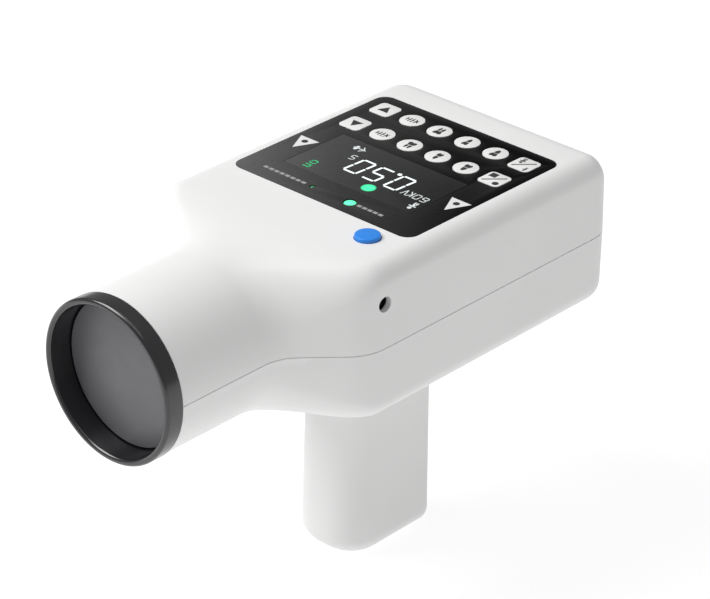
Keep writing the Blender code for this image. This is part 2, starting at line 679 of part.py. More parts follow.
def xray_tube():
    """The tube lies across the beam in its shield, anode on one side and cathode on the other."""
    axis_z = CASE_Z[0] + CASE_WALL + SHIELD_R + GAP
    line = at(0.0, TUBE_Y, axis_z, ALONG_X)
    bore = SHIELD_R - SHIELD_WALL
    wall = pipe(bore, SHIELD_R, SHIELD_HALF)
    shield = turned("tube_shield", wall, line, "lead_grey", steps=16, closed=True)
    deep = SHIELD_WALL
    port = [(0.0, deep), (SHIELD_PORT_R, deep), (SHIELD_PORT_R, -deep), (0.0, -deep)]
    port_place = at(0.0, TUBE_Y - bore - SHIELD_WALL / 2, axis_z, ALONG_MINUS_Y)
    cut(shield, turned("shield_port", port, port_place, steps=10))
    inner_r = ENVELOPE_R - GLASS_WALL
    bulb = pipe(inner_r, ENVELOPE_R, ENVELOPE_HALF)
    turned("tube_envelope", bulb, line, "tube_glass", steps=16, closed=True)
    seal_r = inner_r - GAP
    anode_profile = [
        (0.0, -ANODE_TIP),
        (ANODE_R, -ANODE_TIP),
        (ANODE_R, -SEAL_X[0]),
        (seal_r, -SEAL_X[0]),
        (seal_r, -SEAL_X[1]),
        (0.0, -SEAL_X[1]),
    ]
    anode = turned("tube_anode", anode_profile, line, "copper", steps=12)
    reach = 2 * ANODE_R
    face = block("anode_face", (-ANODE_TIP, reach), (-reach, reach), (-reach, reach))
    face.matrix_world = at(-ANODE_TIP, TUBE_Y, axis_z, Matrix.Rotation(math.radians(-ANODE_ANGLE), 4, "Z"))
    cut(anode, face)
    cathode_profile = [
        (0.0, SEAL_X[1]),
        (seal_r, SEAL_X[1]),
        (seal_r, SEAL_X[0]),
        (CATHODE_R, SEAL_X[0]),
        (CATHODE_R, CATHODE_TIP),
        (0.0, CATHODE_TIP),
    ]
    turned("tube_cathode", cathode_profile, line, "steel", steps=12)


def pipe(bore, radius, half):
    """The profile of a tube that reaches as far each way from its middle."""
    return [(bore, half), (radius, half), (radius, -half), (bore, -half)]


def transformer():
    core = block("transformer_core", (-CORE_HALF_X, CORE_HALF_X), CORE_Y, CORE_Z, "steel")
    for i, side in enumerate((-1, 1)):
        xs = sorted((side * CORE_LIMB_X, side * CORE_WINDOW_X))
        cut(core, block(f"core_window_{i}", xs, (CORE_Y[0] - MM, CORE_Y[1] + MM), CORE_WINDOW_Z))
    coil_x = (-CORE_WINDOW_X + GAP, CORE_WINDOW_X - GAP)
    coil_y = (CORE_Y[0] - COIL_DEPTH, CORE_Y[1] + COIL_DEPTH)
    coil_z = (CORE_WINDOW_Z[0] + GAP, CORE_WINDOW_Z[1] - GAP)
    coil = block("transformer_coil", coil_x, coil_y, coil_z, "copper", COIL_R)
    hole_x = (-CORE_LIMB_X - GAP, CORE_LIMB_X + GAP)
    cut(coil, block("coil_hole", hole_x, (CORE_Y[0] - GAP, CORE_Y[1] + GAP), CORE_Z))


def multiplier_board():
    """The high-voltage board stands upright behind the transformer with a row of capacitors."""
    xs = (-MULTIPLIER_HALF_X, MULTIPLIER_HALF_X)
    board = block("multiplier_board", xs, MULTIPLIER_Y, CORE_Z, "board_green")
    capacitor_y = (CAPACITOR_Y, MULTIPLIER_Y[1] - MM)
    for i in range(CAPACITORS):
        x = (i - (CAPACITORS - 1) / 2) * CAPACITOR_PITCH
        capacitor_x = (x - CAPACITOR_HALF_X, x + CAPACITOR_HALF_X)
        add(board, block(f"capacitor_{i}", capacitor_x, capacitor_y, CAPACITOR_Z))


def control_board():
    xs = (-BOARD_HALF_X, BOARD_HALF_X)
    board = block("control_board", xs, BOARD_Y, BOARD_Z, "board_green", BOARD_R, 2)
    for name, x, y, _square in key_places():
        add(board, rod(f"{name}_switch", KEY_SWITCH_R, (x, y), (BOARD_Z[1] - ROOT, KEY_SWITCH_Z), steps=12))
    base = BOARD_Z[1] + GAP
    module_x = (WINDOW_X[0] + MODULE_MARGIN, WINDOW_X[1] - MODULE_MARGIN)
    module_y = (WINDOW_Y[0] + MODULE_MARGIN, WINDOW_Y[1] - MODULE_MARGIN)
    block("display_module", module_x, module_y, (base, RECESS_Z - MODULE_SETBACK), "black_plastic")
    buzzer_r, buzzer_height, buzzer_y = BUZZER
    buzzer_top = BOARD_Z[0] - GAP
    rod("buzzer", buzzer_r, (0.0, buzzer_y), (buzzer_top - buzzer_height, buzzer_top), "black_plastic")
    for name, (x, radius) in (("ready_led", READY_LED), ("exposure_led", EXPOSURE_LED)):
        rod(name, radius, (x, LED_Y), (base, TOP_Z), "led_green", steps=14)
    switch_x = (BUTTON_X - SWITCH_HALF, BUTTON_X + SWITCH_HALF)
    switch_y = (BUTTON_Y - SWITCH_HALF, BUTTON_Y + SWITCH_HALF)
    switch = block("exposure_switch", switch_x, switch_y, (base, base + SWITCH_HEIGHT), "black_plastic")
    plunger_z = (base + SWITCH_HEIGHT - ROOT, base + PLUNGER_TOP)
    add(switch, rod("switch_plunger", PLUNGER_R, (BUTTON_X, BUTTON_Y), plunger_z, steps=12))


def exposure_button():
    """A low flat-topped cap held under the wall by its flange; it travels straight down on its spring."""
    profile = [(0.0, BUTTON_PROUD)]
    for i in range(BUTTON_EDGE_STEPS + 1):
        angle = math.pi / 2 * i / BUTTON_EDGE_STEPS
        radius = BUTTON_R - BUTTON_EDGE_R * (1 - math.sin(angle))
        profile.append((radius, BUTTON_PROUD - BUTTON_EDGE_R * (1 - math.cos(angle))))
    flange = -(WALL + GAP)
    foot = flange - BUTTON_FLANGE
    profile += [(BUTTON_R, flange), (BUTTON_FLANGE_R, flange), (BUTTON_FLANGE_R, foot), (0.0, foot)]
    turned("exposure_button", profile, at(BUTTON_X, BUTTON_Y, TOP_Z), "button_blue", steps=24)
    wire = bpy.data.curves.new("button_spring", "CURVE")
    wire.dimensions = "3D"
    wire.bevel_depth = SPRING_WIRE_R
    wire.bevel_resolution = 2
    wire.use_fill_caps = True
    spline = wire.splines.new("POLY")
    count = SPRING_TURNS * SPRING_POINTS
    spline.points.add(count)
    low = SPRING_Z[0] + SPRING_WIRE_R
    high = SPRING_Z[1] - SPRING_WIRE_R
    for i, point in enumerate(spline.points):
        turn = 2 * math.pi * SPRING_TURNS * i / count
        z = low + (high - low) * i / count
        point.co = (BUTTON_X + SPRING_R * math.cos(turn), BUTTON_Y + SPRING_R * math.sin(turn), z, 1.0)
    spring = add_object("button_spring", wire, "steel")
    spring.modifiers.new("flat_faces", "TRIANGULATE")


def control_panel():
    """The black overlay, the display window let into it and the twelve keys that come up through it."""
    panel_z = (TOP_Z - PANEL_THICK, TOP_Z)
    through = (panel_z[0] - MM, TOP_Z + MM)
    xs = (-PANEL_HALF_X, PANEL_HALF_X)
    overlay = block("control_overlay", xs, PANEL_Y, panel_z, "panel_black", PANEL_R)
    hole_x = (WINDOW_X[0] - DISPLAY_SLIT, WINDOW_X[1] + DISPLAY_SLIT)
    hole_y = (WINDOW_Y[0] - DISPLAY_SLIT, WINDOW_Y[1] + DISPLAY_SLIT)
    cut(overlay, block("window_hole", hole_x, hole_y, through))
    block("display_window", WINDOW_X, WINDOW_Y, panel_z, "display_smoke")
    for name, (x, radius) in (("ready", READY_LED), ("exposure", EXPOSURE_LED)):
        cut(overlay, rod(f"{name}_overlay_hole", radius + GAP, (x, LED_Y), through, steps=20))
    key_z = (KEY_TOP_Z - KEY_THICK, KEY_TOP_Z)
    for name, x, y, square in key_places():
        if square:
            key_x = (x - KEY_R, x + KEY_R)
            key_y = (y - KEY_R, y + KEY_R)
            key = block(name, key_x, key_y, key_z, "key_white", KEY_SQUARE_R, 3)
            stem_z = (KEY_STEM_Z, key_z[0] + KEY_THICK / 2)
            add(key, rod(f"{name}_stem", KEY_STEM_R, (x, y), stem_z, steps=12))
            hole_x = (key_x[0] - GAP, key_x[1] + GAP)
            hole_y = (key_y[0] - GAP, key_y[1] + GAP)
            cut(overlay, block(f"{name}_hole", hole_x, hole_y, through, None, KEY_SQUARE_R, 3))
            continue
        cap = [(0.0, 0.0), (KEY_R, 0.0), (KEY_R, -KEY_THICK), (KEY_STEM_R, -KEY_THICK)]
        stem = KEY_STEM_Z - KEY_TOP_Z
        turned(name, cap + [(KEY_STEM_R, stem), (0.0, stem)], at(x, y, KEY_TOP_Z), "key_white", steps=16)
        cut(overlay, rod(f"{name}_hole", KEY_R + GAP, (x, y), through, steps=16))


def charging_jack():
    """A barrel jack lying along X, its mouth just inside the wall, with a centre pin in its bore."""
    profile = [
        (0.0, -JACK_PIN_TIP),
        (JACK_PIN_R, -JACK_PIN_TIP),
        (JACK_PIN_R, -JACK_BORE_DEPTH),
        (JACK_BORE_R, -JACK_BORE_DEPTH),
        (JACK_BORE_R, 0.0),
        (JACK_R, 0.0),
        (JACK_R, -JACK_LENGTH),
        (0.0, -JACK_LENGTH),
    ]
    mouth = HALF_WIDTH - WALL - JACK_SETBACK
    turned("charging_jack", profile, at(mouth, JACK_Y, JACK_Z, ALONG_X), "black_plastic", steps=24)


def screws():
    """Pan-head screws, heads down under the body and heads up on the grip's flange."""
    upside_down = Matrix.Rotation(math.pi, 4, "X")
    housing_screw = screw_profile(HOUSING_SCREW_TIP - COUNTERBORE_Z)
    for i, (x, y) in enumerate(boss_places()):
        place = at(x, y, COUNTERBORE_Z - GAP, upside_down)
        turned(f"housing_screw_{i + 1}", housing_screw, place, "steel", steps=8)
    grip_screw = screw_profile(FLANGE_Z[1] + GAP - FLOOR_Z - GRIP_SCREW_TIP)
    for i, (x, y) in enumerate(grip_screw_places()):
        turned(f"grip_screw_{i + 1}", grip_screw, at(x, y, FLANGE_Z[1] + GAP), "steel", steps=8)


def screw_profile(length):
    head = [(0.0, SCREW_HEAD), (SCREW_HEAD_R, SCREW_HEAD), (SCREW_HEAD_R, 0.0)]
    return head + [(SCREW_R, 0.0), (SCREW_R, -length), (0.0, -length)]


def build():
    upper_housing()
    lower_housing()
    grip_shell()
    battery()
    cone_rim()
    beam_path()
    generator_case()
    xray_tube()
    transformer()
    multiplier_board()
    control_board()
    control_panel()
    exposure_button()
    charging_jack()
    screws()


build()
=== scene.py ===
"""The looks of the handheld dental x-ray unit: fine shells, keypad, lit display, studio and camera."""

import math

import bmesh
import bpy
from mathutils import Matrix, Vector


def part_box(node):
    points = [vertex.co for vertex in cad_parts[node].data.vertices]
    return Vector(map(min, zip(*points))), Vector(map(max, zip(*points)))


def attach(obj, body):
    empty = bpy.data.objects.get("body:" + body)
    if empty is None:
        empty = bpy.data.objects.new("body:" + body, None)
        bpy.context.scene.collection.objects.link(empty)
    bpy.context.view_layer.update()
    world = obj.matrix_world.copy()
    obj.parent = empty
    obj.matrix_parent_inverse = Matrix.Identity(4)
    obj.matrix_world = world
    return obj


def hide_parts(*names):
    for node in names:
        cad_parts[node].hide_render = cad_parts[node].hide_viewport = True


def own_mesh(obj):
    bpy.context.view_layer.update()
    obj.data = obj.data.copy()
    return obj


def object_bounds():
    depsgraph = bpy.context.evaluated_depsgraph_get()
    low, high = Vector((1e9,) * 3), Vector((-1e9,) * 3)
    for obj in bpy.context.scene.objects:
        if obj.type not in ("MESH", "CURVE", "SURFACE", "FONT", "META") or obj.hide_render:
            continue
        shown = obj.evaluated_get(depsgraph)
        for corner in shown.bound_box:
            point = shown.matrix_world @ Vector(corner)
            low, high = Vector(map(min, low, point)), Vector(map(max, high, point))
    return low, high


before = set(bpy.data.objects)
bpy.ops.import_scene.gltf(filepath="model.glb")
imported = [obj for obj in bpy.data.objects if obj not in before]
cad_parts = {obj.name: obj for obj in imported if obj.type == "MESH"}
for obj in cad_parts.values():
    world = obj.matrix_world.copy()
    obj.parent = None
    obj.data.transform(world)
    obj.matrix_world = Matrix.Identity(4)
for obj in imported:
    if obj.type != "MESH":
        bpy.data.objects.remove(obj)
cad_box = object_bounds()

MM = 0.001
ROOT = "unit"

# Shape of the body that the CAD facets follow.
GAP = 0.3 * MM
WALL = 2.5 * MM
EDGE_R = 8.0 * MM
BACK_CORNER_R = 13.5 * MM
BACK_TOP_R = 14.5 * MM
BACK_FLOOR_R = 8.0 * MM
SIDE_DRAFT = 0.010
CONE_R = 31.8 * MM
CONE_LENGTH = 48.0 * MM
SQUARE_LENGTH = 87.0 * MM
NECK_FILLET_R = 18.0 * MM
SHOULDER_R = 20.0 * MM
SEAM_CHAMFER = 0.1 * MM
TONGUE = (0.4 * MM, 1.4 * MM, 0.8 * MM)
RIM_LIP_R = 1.35 * MM
RIM_BORE_R = 29.1 * MM
RIM_LEDGE_R = 26.0 * MM
SPIGOT_R = 30.3 * MM
GRIP_HALF_X = 17.7 * MM
GRIP_FRONT_Y = -24.3 * MM
GRIP_BACK_Y = 21.7 * MM
GRIP_LEAN = 3.0 * MM
GRIP_NOSE = 16.0 * MM
GRIP_NOSE_POWER = 2.4
GRIP_BACK_R = 3.5 * MM
GRIP_BASE_R = 7.8 * MM
COLLAR_R = 5.0 * MM
NECK_HALF_X = 16.2 * MM
NECK_Y = (-20.0 * MM, 21.5 * MM)
NECK_R = 5.0 * MM
NECK_ROOT = 0.6 * MM
FLANGE_THICK = 3.0 * MM
FLANGE_R = 4.0 * MM
CAVITY_HALF_X = 14.2 * MM
CAVITY_Y = (-18.0 * MM, 19.5 * MM)
CAVITY_Z = 3.6 * MM
CAVITY_R = 8.0 * MM
SCREW_HEAD_R = 2.75 * MM
COUNTERBORE = 10.0 * MM
KEY_CORNER_R = 2.0 * MM
KEY_THICK = 0.8 * MM
KEY_STEM_R = 1.8 * MM
STEM_HOLE_R = 2.4 * MM
LED_MARGIN = 0.6 * MM
SCREEN_LEDGE = 1.3 * MM
SCREEN_SLIT = 0.2 * MM
PANEL_R = 5.0 * MM
HOLE_R = 3.1 * MM
HOLE_REACH = (3 * MM, -6 * MM)
REBATE_FRONT = 6 * MM
BUTTON_R = 4.9 * MM
BUTTON_EDGE_R = 0.5 * MM
BUTTON_CROWN = 0.12 * MM
BUTTON_FLANGE = 1.2 * MM
SPRING_WIRE_R = 0.25 * MM
SPRING_TURNS = 2
PRINT_THICK = 0.05 * MM

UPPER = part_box("upper_housing")
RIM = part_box("cone_rim")
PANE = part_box("cone_window")
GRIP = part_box("grip_shell")
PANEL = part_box("control_overlay")
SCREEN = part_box("display_window")
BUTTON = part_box("exposure_button")
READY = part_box("ready_led")
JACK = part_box("charging_jack")

FRONT_Y = RIM[0].y
BACK_Y = UPPER[1].y
HALF_WIDTH = UPPER[1].x
TOP_Z = UPPER[1].z
FLOOR_Z = TOP_Z - 62.7 * MM
AXIS_Z = (RIM[0].z + RIM[1].z) / 2
CONE_START_Y = UPPER[0].y
CONE_END_Y = FRONT_Y + CONE_LENGTH
SQUARE_Y = FRONT_Y + SQUARE_LENGTH

ALONG_X = Matrix.Rotation(math.radians(90.0), 4, "Y")
ALONG_MINUS_Y = Matrix.Rotation(math.radians(90.0), 4, "X")
KEYS = [f"key_{i:02d}" for i in range(1, 13)]
LIT_DOT = (6.3, -22.4)
LIT_DOT_R = 3.1
HALO = 0.25
CAMERA_AZIMUTH = 42.87
CAMERA_ELEVATION = 28.50
CAMERA_ROLL = 0.30
CAMERA_DISTANCE = 1.1532
CAMERA_LENS = 153.9
CAMERA_AIM = Vector((7.1, 12.0, 32.5)) * MM
LIGHTS_AIM = (0.0, 0.0, 0.1)
LIGHTS = {
    "key_light": ((-0.87, -0.74, 1.44), 1.1, 24.5),
    "top_light": ((0.0, 0.0, 1.6), 1.2, 4.2),
}
SURROUND = 0.35
FLOOR_REACH = 6.0
SQUARE_KEY_X = 30 * MM
# Greys of the black panel film from its back right corner to its front left one: the rise towards the front
# left is a painted reflection.
PANEL_PAINTED_REFLECTION_GREYS = (0.0003, 0.007, 0.042, 0.118)


# Node materials -------------------------------------------------------------------------------------


class Nodes:
    """Short words for building one material's node tree."""

    def __init__(self, name):
        self.material = bpy.data.materials.new(name)
        self.material.use_nodes = True
        self.tree = self.material.node_tree
        self.shader = self.tree.nodes["Principled BSDF"]
        self.coords = self.tree.nodes.new("ShaderNodeTexCoord").outputs["Object"]

    def link(self, source, target):
        self.tree.links.new(source, target)
        return source

    def node(self, kind, **values):
        made = self.tree.nodes.new(kind)
        for key, value in values.items():
            setattr(made, key, value)
        return made

    def stretched(self, scale):
        mapping = self.node("ShaderNodeMapping")
        mapping.inputs["Scale"].default_value = scale
        self.link(self.coords, mapping.inputs["Vector"])
        return mapping.outputs["Vector"]

    def noise(self, scale, detail=3.0, vector=None):
        made = self.node("ShaderNodeTexNoise")
        made.inputs["Scale"].default_value = scale
        made.inputs["Detail"].default_value = detail
        self.link(vector or self.coords, made.inputs["Vector"])
        return made.outputs["Fac"]

    def ramp(self, value, low, high, low_at=0.35, high_at=0.65):
        """A value spread between two greys or two colours."""
        made = self.node("ShaderNodeValToRGB")
        first, last = made.color_ramp.elements
        first.position, last.position = low_at, high_at
        first.color = low if isinstance(low, tuple) else (low, low, low, 1.0)
        last.color = high if isinstance(high, tuple) else (high, high, high, 1.0)
        self.link(value, made.inputs["Fac"])
        return made.outputs["Color"]

    def mix(self, factor, first, second, blend="MIX"):
        made = self.node("ShaderNodeMix", data_type="RGBA", blend_type=blend)
        colours = [s for s in made.inputs if s.type == "RGBA"]
        if isinstance(factor, float):
            made.inputs["Factor"].default_value = factor
        else:
            self.link(factor, made.inputs["Factor"])
        for socket, value in zip(colours, (first, second)):
            if isinstance(value, tuple):
                socket.default_value = value
            else:
                self.link(value, socket)
        return next(s for s in made.outputs if s.type == "RGBA")

    def bump(self, height, strength, distance):
        made = self.node("ShaderNodeBump")
        made.inputs["Strength"].default_value = strength
        made.inputs["Distance"].default_value = distance
        self.link(height, made.inputs["Height"])
        self.link(made.outputs["Normal"], self.shader.inputs["Normal"])

    def edges(self, low, high):
        """White on worn outer edges, black elsewhere."""
        point = self.node("ShaderNodeNewGeometry").outputs["Pointiness"]
        return self.ramp(point, 0.0, 1.0, low, high)


def tone(colour, factor):
    return (*(min(c * factor, 1.0) for c in colour), 1.0)


def plastic(name, colour, rough, spread=0.03, grain=2600.0, grain_depth=0.012, wear=0.06, sheen=0.5):
    """Moulded plastic: faint cloudy colour, spark-eroded grain, uneven gloss and edges rubbed lighter."""
    n = Nodes(name)
    cloud = n.ramp(n.noise(22.0, 4.0), tone(colour, 1 - spread), tone(colour, 1 + spread))
    worn = n.mix(n.edges(0.53, 0.62), cloud, tone(colour, 1 + wear))
    n.link(worn, n.shader.inputs["Base Color"])
    n.link(n.ramp(n.noise(140.0, 5.0), rough * 0.88, rough * 1.12), n.shader.inputs["Roughness"])
    n.bump(n.noise(grain, 2.0), 0.35, grain_depth * MM)
    n.shader.inputs["Specular IOR Level"].default_value = sheen
    return n.material


def gloss_panel(name, lift, rough, print_depth=0.004):
    """Printed black film with a painted reflection in its colour: deepest at its back right corner, greyer
    towards the front left one.
    """
    n = Nodes(name)
    split = n.node("ShaderNodeSeparateXYZ")
    n.link(n.coords, split.inputs["Vector"])
    slant = n.node("ShaderNodeMath", operation="MULTIPLY_ADD")
    slant.inputs[1].default_value = 0.95
    n.link(split.outputs["Y"], slant.inputs[0])
    n.link(split.outputs["X"], slant.inputs[2])
    place = n.node("ShaderNodeMapRange")
    place.inputs["From Min"].default_value = PANEL[1].x + 0.95 * PANEL[1].y
    place.inputs["From Max"].default_value = PANEL[0].x + 0.95 * PANEL[0].y
    n.link(slant.outputs["Value"], place.inputs["Value"])
    # This ramp paints a reflection into the film's colour: a greyer glare that grows towards the front left
    # corner.
    painted_reflection = n.node("ShaderNodeValToRGB")
    painted_reflection.color_ramp.elements.new(0.33)
    painted_reflection.color_ramp.elements.new(0.67)
    for element, grey in zip(painted_reflection.color_ramp.elements, PANEL_PAINTED_REFLECTION_GREYS):
        element.color = tone((grey + lift, grey + lift, grey + lift * 1.05), 1.0)
    n.link(place.outputs["Result"], painted_reflection.inputs["Fac"])
    speckle = n.ramp(n.noise(900.0, 2.0), tone((1, 1, 1), 0.90), tone((1, 1, 1), 1.0))
    n.link(n.mix(1.0, painted_reflection.outputs["Color"], speckle, "MULTIPLY"), n.shader.inputs["Base Color"])
    n.link(n.ramp(n.noise(60.0, 4.0), rough * 0.8, rough * 1.25), n.shader.inputs["Roughness"])
    n.shader.inputs["Specular IOR Level"].default_value = 0.03
    n.bump(n.noise(700.0, 2.0), 0.25, print_depth * MM)
    return n.material


def metal(name, colour, rough, scale, depth=0.01):
    """Brushed or cast metal: streaks or grain along scale, with duller patches."""
    n = Nodes(name)
    streak = n.noise(1.0, 4.0, n.stretched(scale))
    n.link(n.ramp(streak, tone(colour, 0.86), tone(colour, 1.08)), n.shader.inputs["Base Color"])
    n.link(n.ramp(n.noise(90.0, 4.0), rough * 0.8, rough * 1.25), n.shader.inputs["Roughness"])
    n.shader.inputs["Metallic"].default_value = 1.0
    n.bump(streak, 0.4, depth * MM)
    return n.material


def circuit(name, colour, trace):
    """Solder mask over copper tracks."""
    n = Nodes(name)
    bricks = n.node("ShaderNodeTexBrick")
    bricks.inputs["Scale"].default_value = 220.0
    bricks.inputs["Mortar Size"].default_value = 0.012
    bricks.inputs["Color1"].default_value = tone(colour, 0.9)
    bricks.inputs["Color2"].default_value = tone(colour, 1.15)
    bricks.inputs["Mortar"].default_value = tone(trace, 1.0)
    n.link(n.coords, bricks.inputs["Vector"])
    n.link(bricks.outputs["Color"], n.shader.inputs["Base Color"])
    n.link(n.ramp(n.noise(120.0), 0.35, 0.5), n.shader.inputs["Roughness"])
    n.bump(bricks.outputs["Fac"], 0.3, 0.03 * MM)
    return n.material


def winding(name, colour):
    """Enamelled wire laid turn by turn."""
    n = Nodes(name)
    wave = n.node("ShaderNodeTexWave", bands_direction="Z")
    wave.inputs["Scale"].default_value = 420.0
    wave.inputs["Distortion"].default_value = 0.4
    n.link(n.coords, wave.inputs["Vector"])
    shade = n.ramp(wave.outputs["Fac"], tone(colour, 0.6), tone(colour, 1.1), 0.1, 0.8)
    n.link(shade, n.shader.inputs["Base Color"])
    n.shader.inputs["Metallic"].default_value = 1.0
    n.link(n.ramp(n.noise(200.0), 0.25, 0.4), n.shader.inputs["Roughness"])
    n.bump(wave.outputs["Fac"], 0.6, 0.1 * MM)
    return n.material


def glass(name):
    n = Nodes(name)
    tint = n.ramp(n.noise(40.0), (0.78, 0.86, 0.84, 1.0), (0.9, 0.95, 0.94, 1.0))
    n.link(tint, n.shader.inputs["Base Color"])
    n.link(n.ramp(n.noise(90.0), 0.02, 0.08), n.shader.inputs["Roughness"])
    n.shader.inputs["Transmission Weight"].default_value = 0.9
    n.bump(n.noise(200.0), 0.1, 0.01 * MM)
    return n.material


def lit(name, colour, strength, grain=1800.0):
    """A lit or printed mark: its brightness varies a little, as light through a screen does."""
    n = Nodes(name)
    screen = n.ramp(n.noise(grain, 1.0), tone(colour, 0.9), tone(colour, 1.05))
    n.link(screen, n.shader.inputs["Base Color"])
    n.link(screen, n.shader.inputs["Emission Color"])
    n.shader.inputs["Emission Strength"].default_value = strength
    n.link(n.ramp(n.noise(80.0), 0.25, 0.4), n.shader.inputs["Roughness"])
    return n.material


def lit_spot(name, colour, strength, centre, radius):
    """A round light: bright in its middle and fading into a dark green edge."""
    n = Nodes(name)
    offset = n.node("ShaderNodeVectorMath", operation="DISTANCE")
    flat = n.node("ShaderNodeVectorMath", operation="MULTIPLY")
    flat.inputs[1].default_value = (1.0, 1.0, 0.0)
    n.link(n.coords, flat.inputs[0])
    n.link(flat.outputs["Vector"], offset.inputs[0])
    offset.inputs[1].default_value = (*centre, 0.0)
    place = n.node("ShaderNodeMapRange")
    place.inputs["From Max"].default_value = radius
    n.link(offset.outputs["Value"], place.inputs["Value"])
    glow = n.ramp(place.outputs["Result"], tone(colour, 1.0), tone(colour, 0.10), 0.74, 1.0)
    screen = n.ramp(n.noise(1800.0, 1.0), tone((1, 1, 1), 0.92), tone((1, 1, 1), 1.0))
    light = n.mix(1.0, glow, screen, "MULTIPLY")
    n.link(light, n.shader.inputs["Base Color"])
    n.link(light, n.shader.inputs["Emission Color"])
    n.shader.inputs["Emission Strength"].default_value = strength
    n.link(n.ramp(n.noise(80.0), 0.25, 0.4), n.shader.inputs["Roughness"])
    return n.material


def make_materials():
    panel_at = (PANEL[0] + PANEL[1]) / 2
    dot_at = (panel_at.x + LIT_DOT[0] * MM, panel_at.y + LIT_DOT[1] * MM)
    led_at = (READY[0] + READY[1]) / 2
    led_r = (READY[1].x - READY[0].x) / 2 + HALO * MM
    return {
        "white": plastic("white_abs", (0.80, 0.80, 0.795), 0.46, 0.012, 2200.0, 0.02, 0.05, 0.22),
        "rim": plastic("rim_grey", (0.007, 0.007, 0.009), 0.2, 0.10, 2600.0, 0.004, 0.9, 0.9),
        "window": plastic("window_grey", (0.135, 0.134, 0.145), 0.42, 0.04, 1500.0, 0.006, 0.2),
        # The panel and screen films both carry gloss_panel's painted reflection in their colour.
        "panel": gloss_panel("panel_film", 0.0, 0.26),
        "screen": gloss_panel("screen_film", 0.011, 0.22),
        "key": plastic("key_white", (0.80, 0.80, 0.79), 0.42, 0.015, 2400.0, 0.008, 0.04),
        "ink": plastic("key_ink", (0.018, 0.018, 0.020), 0.5, 0.15, 3000.0, 0.004, 0.3),
        "ink_grey": plastic("key_ink_grey", (0.16, 0.16, 0.165), 0.5, 0.10, 3000.0, 0.004, 0.2),
        "print_white": plastic("print_white", (0.74, 0.74, 0.74), 0.5, 0.04, 3000.0, 0.004, 0.05),
        "print_dim": plastic("print_dim", (0.30, 0.30, 0.305), 0.5, 0.08, 3000.0, 0.004, 0.1),
        "blue": plastic("button_blue", (0.015, 0.235, 0.78), 0.34, 0.05, 1800.0, 0.010, 0.25),
        "digit": lit("digit_white", (0.80, 0.88, 0.88), 0.55),
        "mark": lit("mark_white", (0.60, 0.64, 0.64), 0.40),
        "dot_green": lit_spot("dot_green", (0.045, 0.78, 0.32), 0.75, dot_at, LIT_DOT_R * MM),
        "icon_green": lit("icon_green", (0.03, 0.42, 0.16), 0.45),
        "led_bright": lit_spot("led_bright", (0.10, 0.86, 0.40), 1.0, led_at[:2], led_r),
        "led_dim": lit("led_dim", (0.02, 0.20, 0.08), 0.35),
        "black": plastic("black_plastic", (0.018, 0.018, 0.019), 0.5, 0.12, 2000.0, 0.01, 0.6),
        "steel": metal("steel", (0.56, 0.57, 0.58), 0.32, (60.0, 60.0, 900.0)),
        "aluminium": metal("cast_aluminium", (0.72, 0.73, 0.74), 0.45, (500.0, 500.0, 500.0), 0.03),
        "lead": metal("lead_grey", (0.25, 0.26, 0.28), 0.6, (300.0, 300.0, 300.0), 0.02),
        "copper": winding("copper", (0.74, 0.40, 0.24)),
        "board": circuit("board_green", (0.02, 0.16, 0.07), (0.10, 0.30, 0.12)),
        "glass": glass("tube_glass"),
        "cell": plastic("cell_wrap", (0.045, 0.19, 0.42), 0.3, 0.05, 1500.0, 0.004, 0.3),
    }


# Mesh helpers ---------------------------------------------------------------------------------------


def object_from(bm, name, material=None):
    bmesh.ops.recalc_face_normals(bm, faces=bm.faces)
    mesh = bpy.data.meshes.new(name)
    bm.to_mesh(mesh)
    bm.free()
    obj = bpy.data.objects.new(name, mesh)
    bpy.context.scene.collection.objects.link(obj)
    if material is not None:
        mesh.materials.append(material)
    return obj


def block(name, low, high, material=None, corner_r=0.0, steps=10):
    """A box whose upright edges are rounded if corner_r is given."""
    size = Vector(high) - Vector(low)
    centre = (Vector(high) + Vector(low)) / 2
    bm = bmesh.new()
    bmesh.ops.create_cube(bm, size=1.0, matrix=Matrix.LocRotScale(centre, None, size))
    if corner_r:
        upright = [e for e in bm.edges if abs(e.verts[0].co.z - e.verts[1].co.z) > size.z / 2]
        bmesh.ops.bevel(bm, geom=upright, offset=corner_r, segments=steps, affect="EDGES", profile=0.5)
    return object_from(bm, name, material)


def turned(name, profile, place, material=None, steps=96, closed=False):
    """A profile of (radius, height) points turned about the local Z axis, which place then lays."""
    bm = bmesh.new()
    rings = []
    for radius, height in profile:
        if radius == 0.0:
            rings.append([bm.verts.new((0.0, 0.0, height))])
            continue
        turns = [2 * math.pi * i / steps for i in range(steps)]
        rings.append([bm.verts.new((radius * math.cos(a), radius * math.sin(a), height)) for a in turns])
    pairs = list(zip(rings, rings[1:]))
    if closed:
        pairs.append((rings[-1], rings[0]))
    for first, second in pairs:
        for i in range(steps):
            j = (i + 1) % steps
            above = [first[i % len(first)], first[j % len(first)]]
            below = [second[j % len(second)], second[i % len(second)]]
            bm.faces.new(dict.fromkeys(above + below))
    bmesh.ops.transform(bm, matrix=place, verts=bm.verts)
    return object_from(bm, name, material)


def arc(centre, radius, start, end, steps):
    """Points on a round of a profile, angles in degrees."""
    points = []
    for i in range(steps + 1):
        angle = math.radians(start + (end - start) * i / steps)
        points.append((centre[0] + radius * math.cos(angle), centre[1] + radius * math.sin(angle)))
    return points


def loft(name, rings, material=None):
    bm = bmesh.new()
    rows = [[bm.verts.new(point) for point in ring] for ring in rings]
    for near, far in zip(rows, rows[1:]):
        for i in range(len(near)):
            j = (i + 1) % len(near)
            bm.faces.new((near[i], near[j], far[j], far[i]))
    bm.faces.new(rows[0])
    bm.faces.new(rows[-1])
    return object_from(bm, name, material)


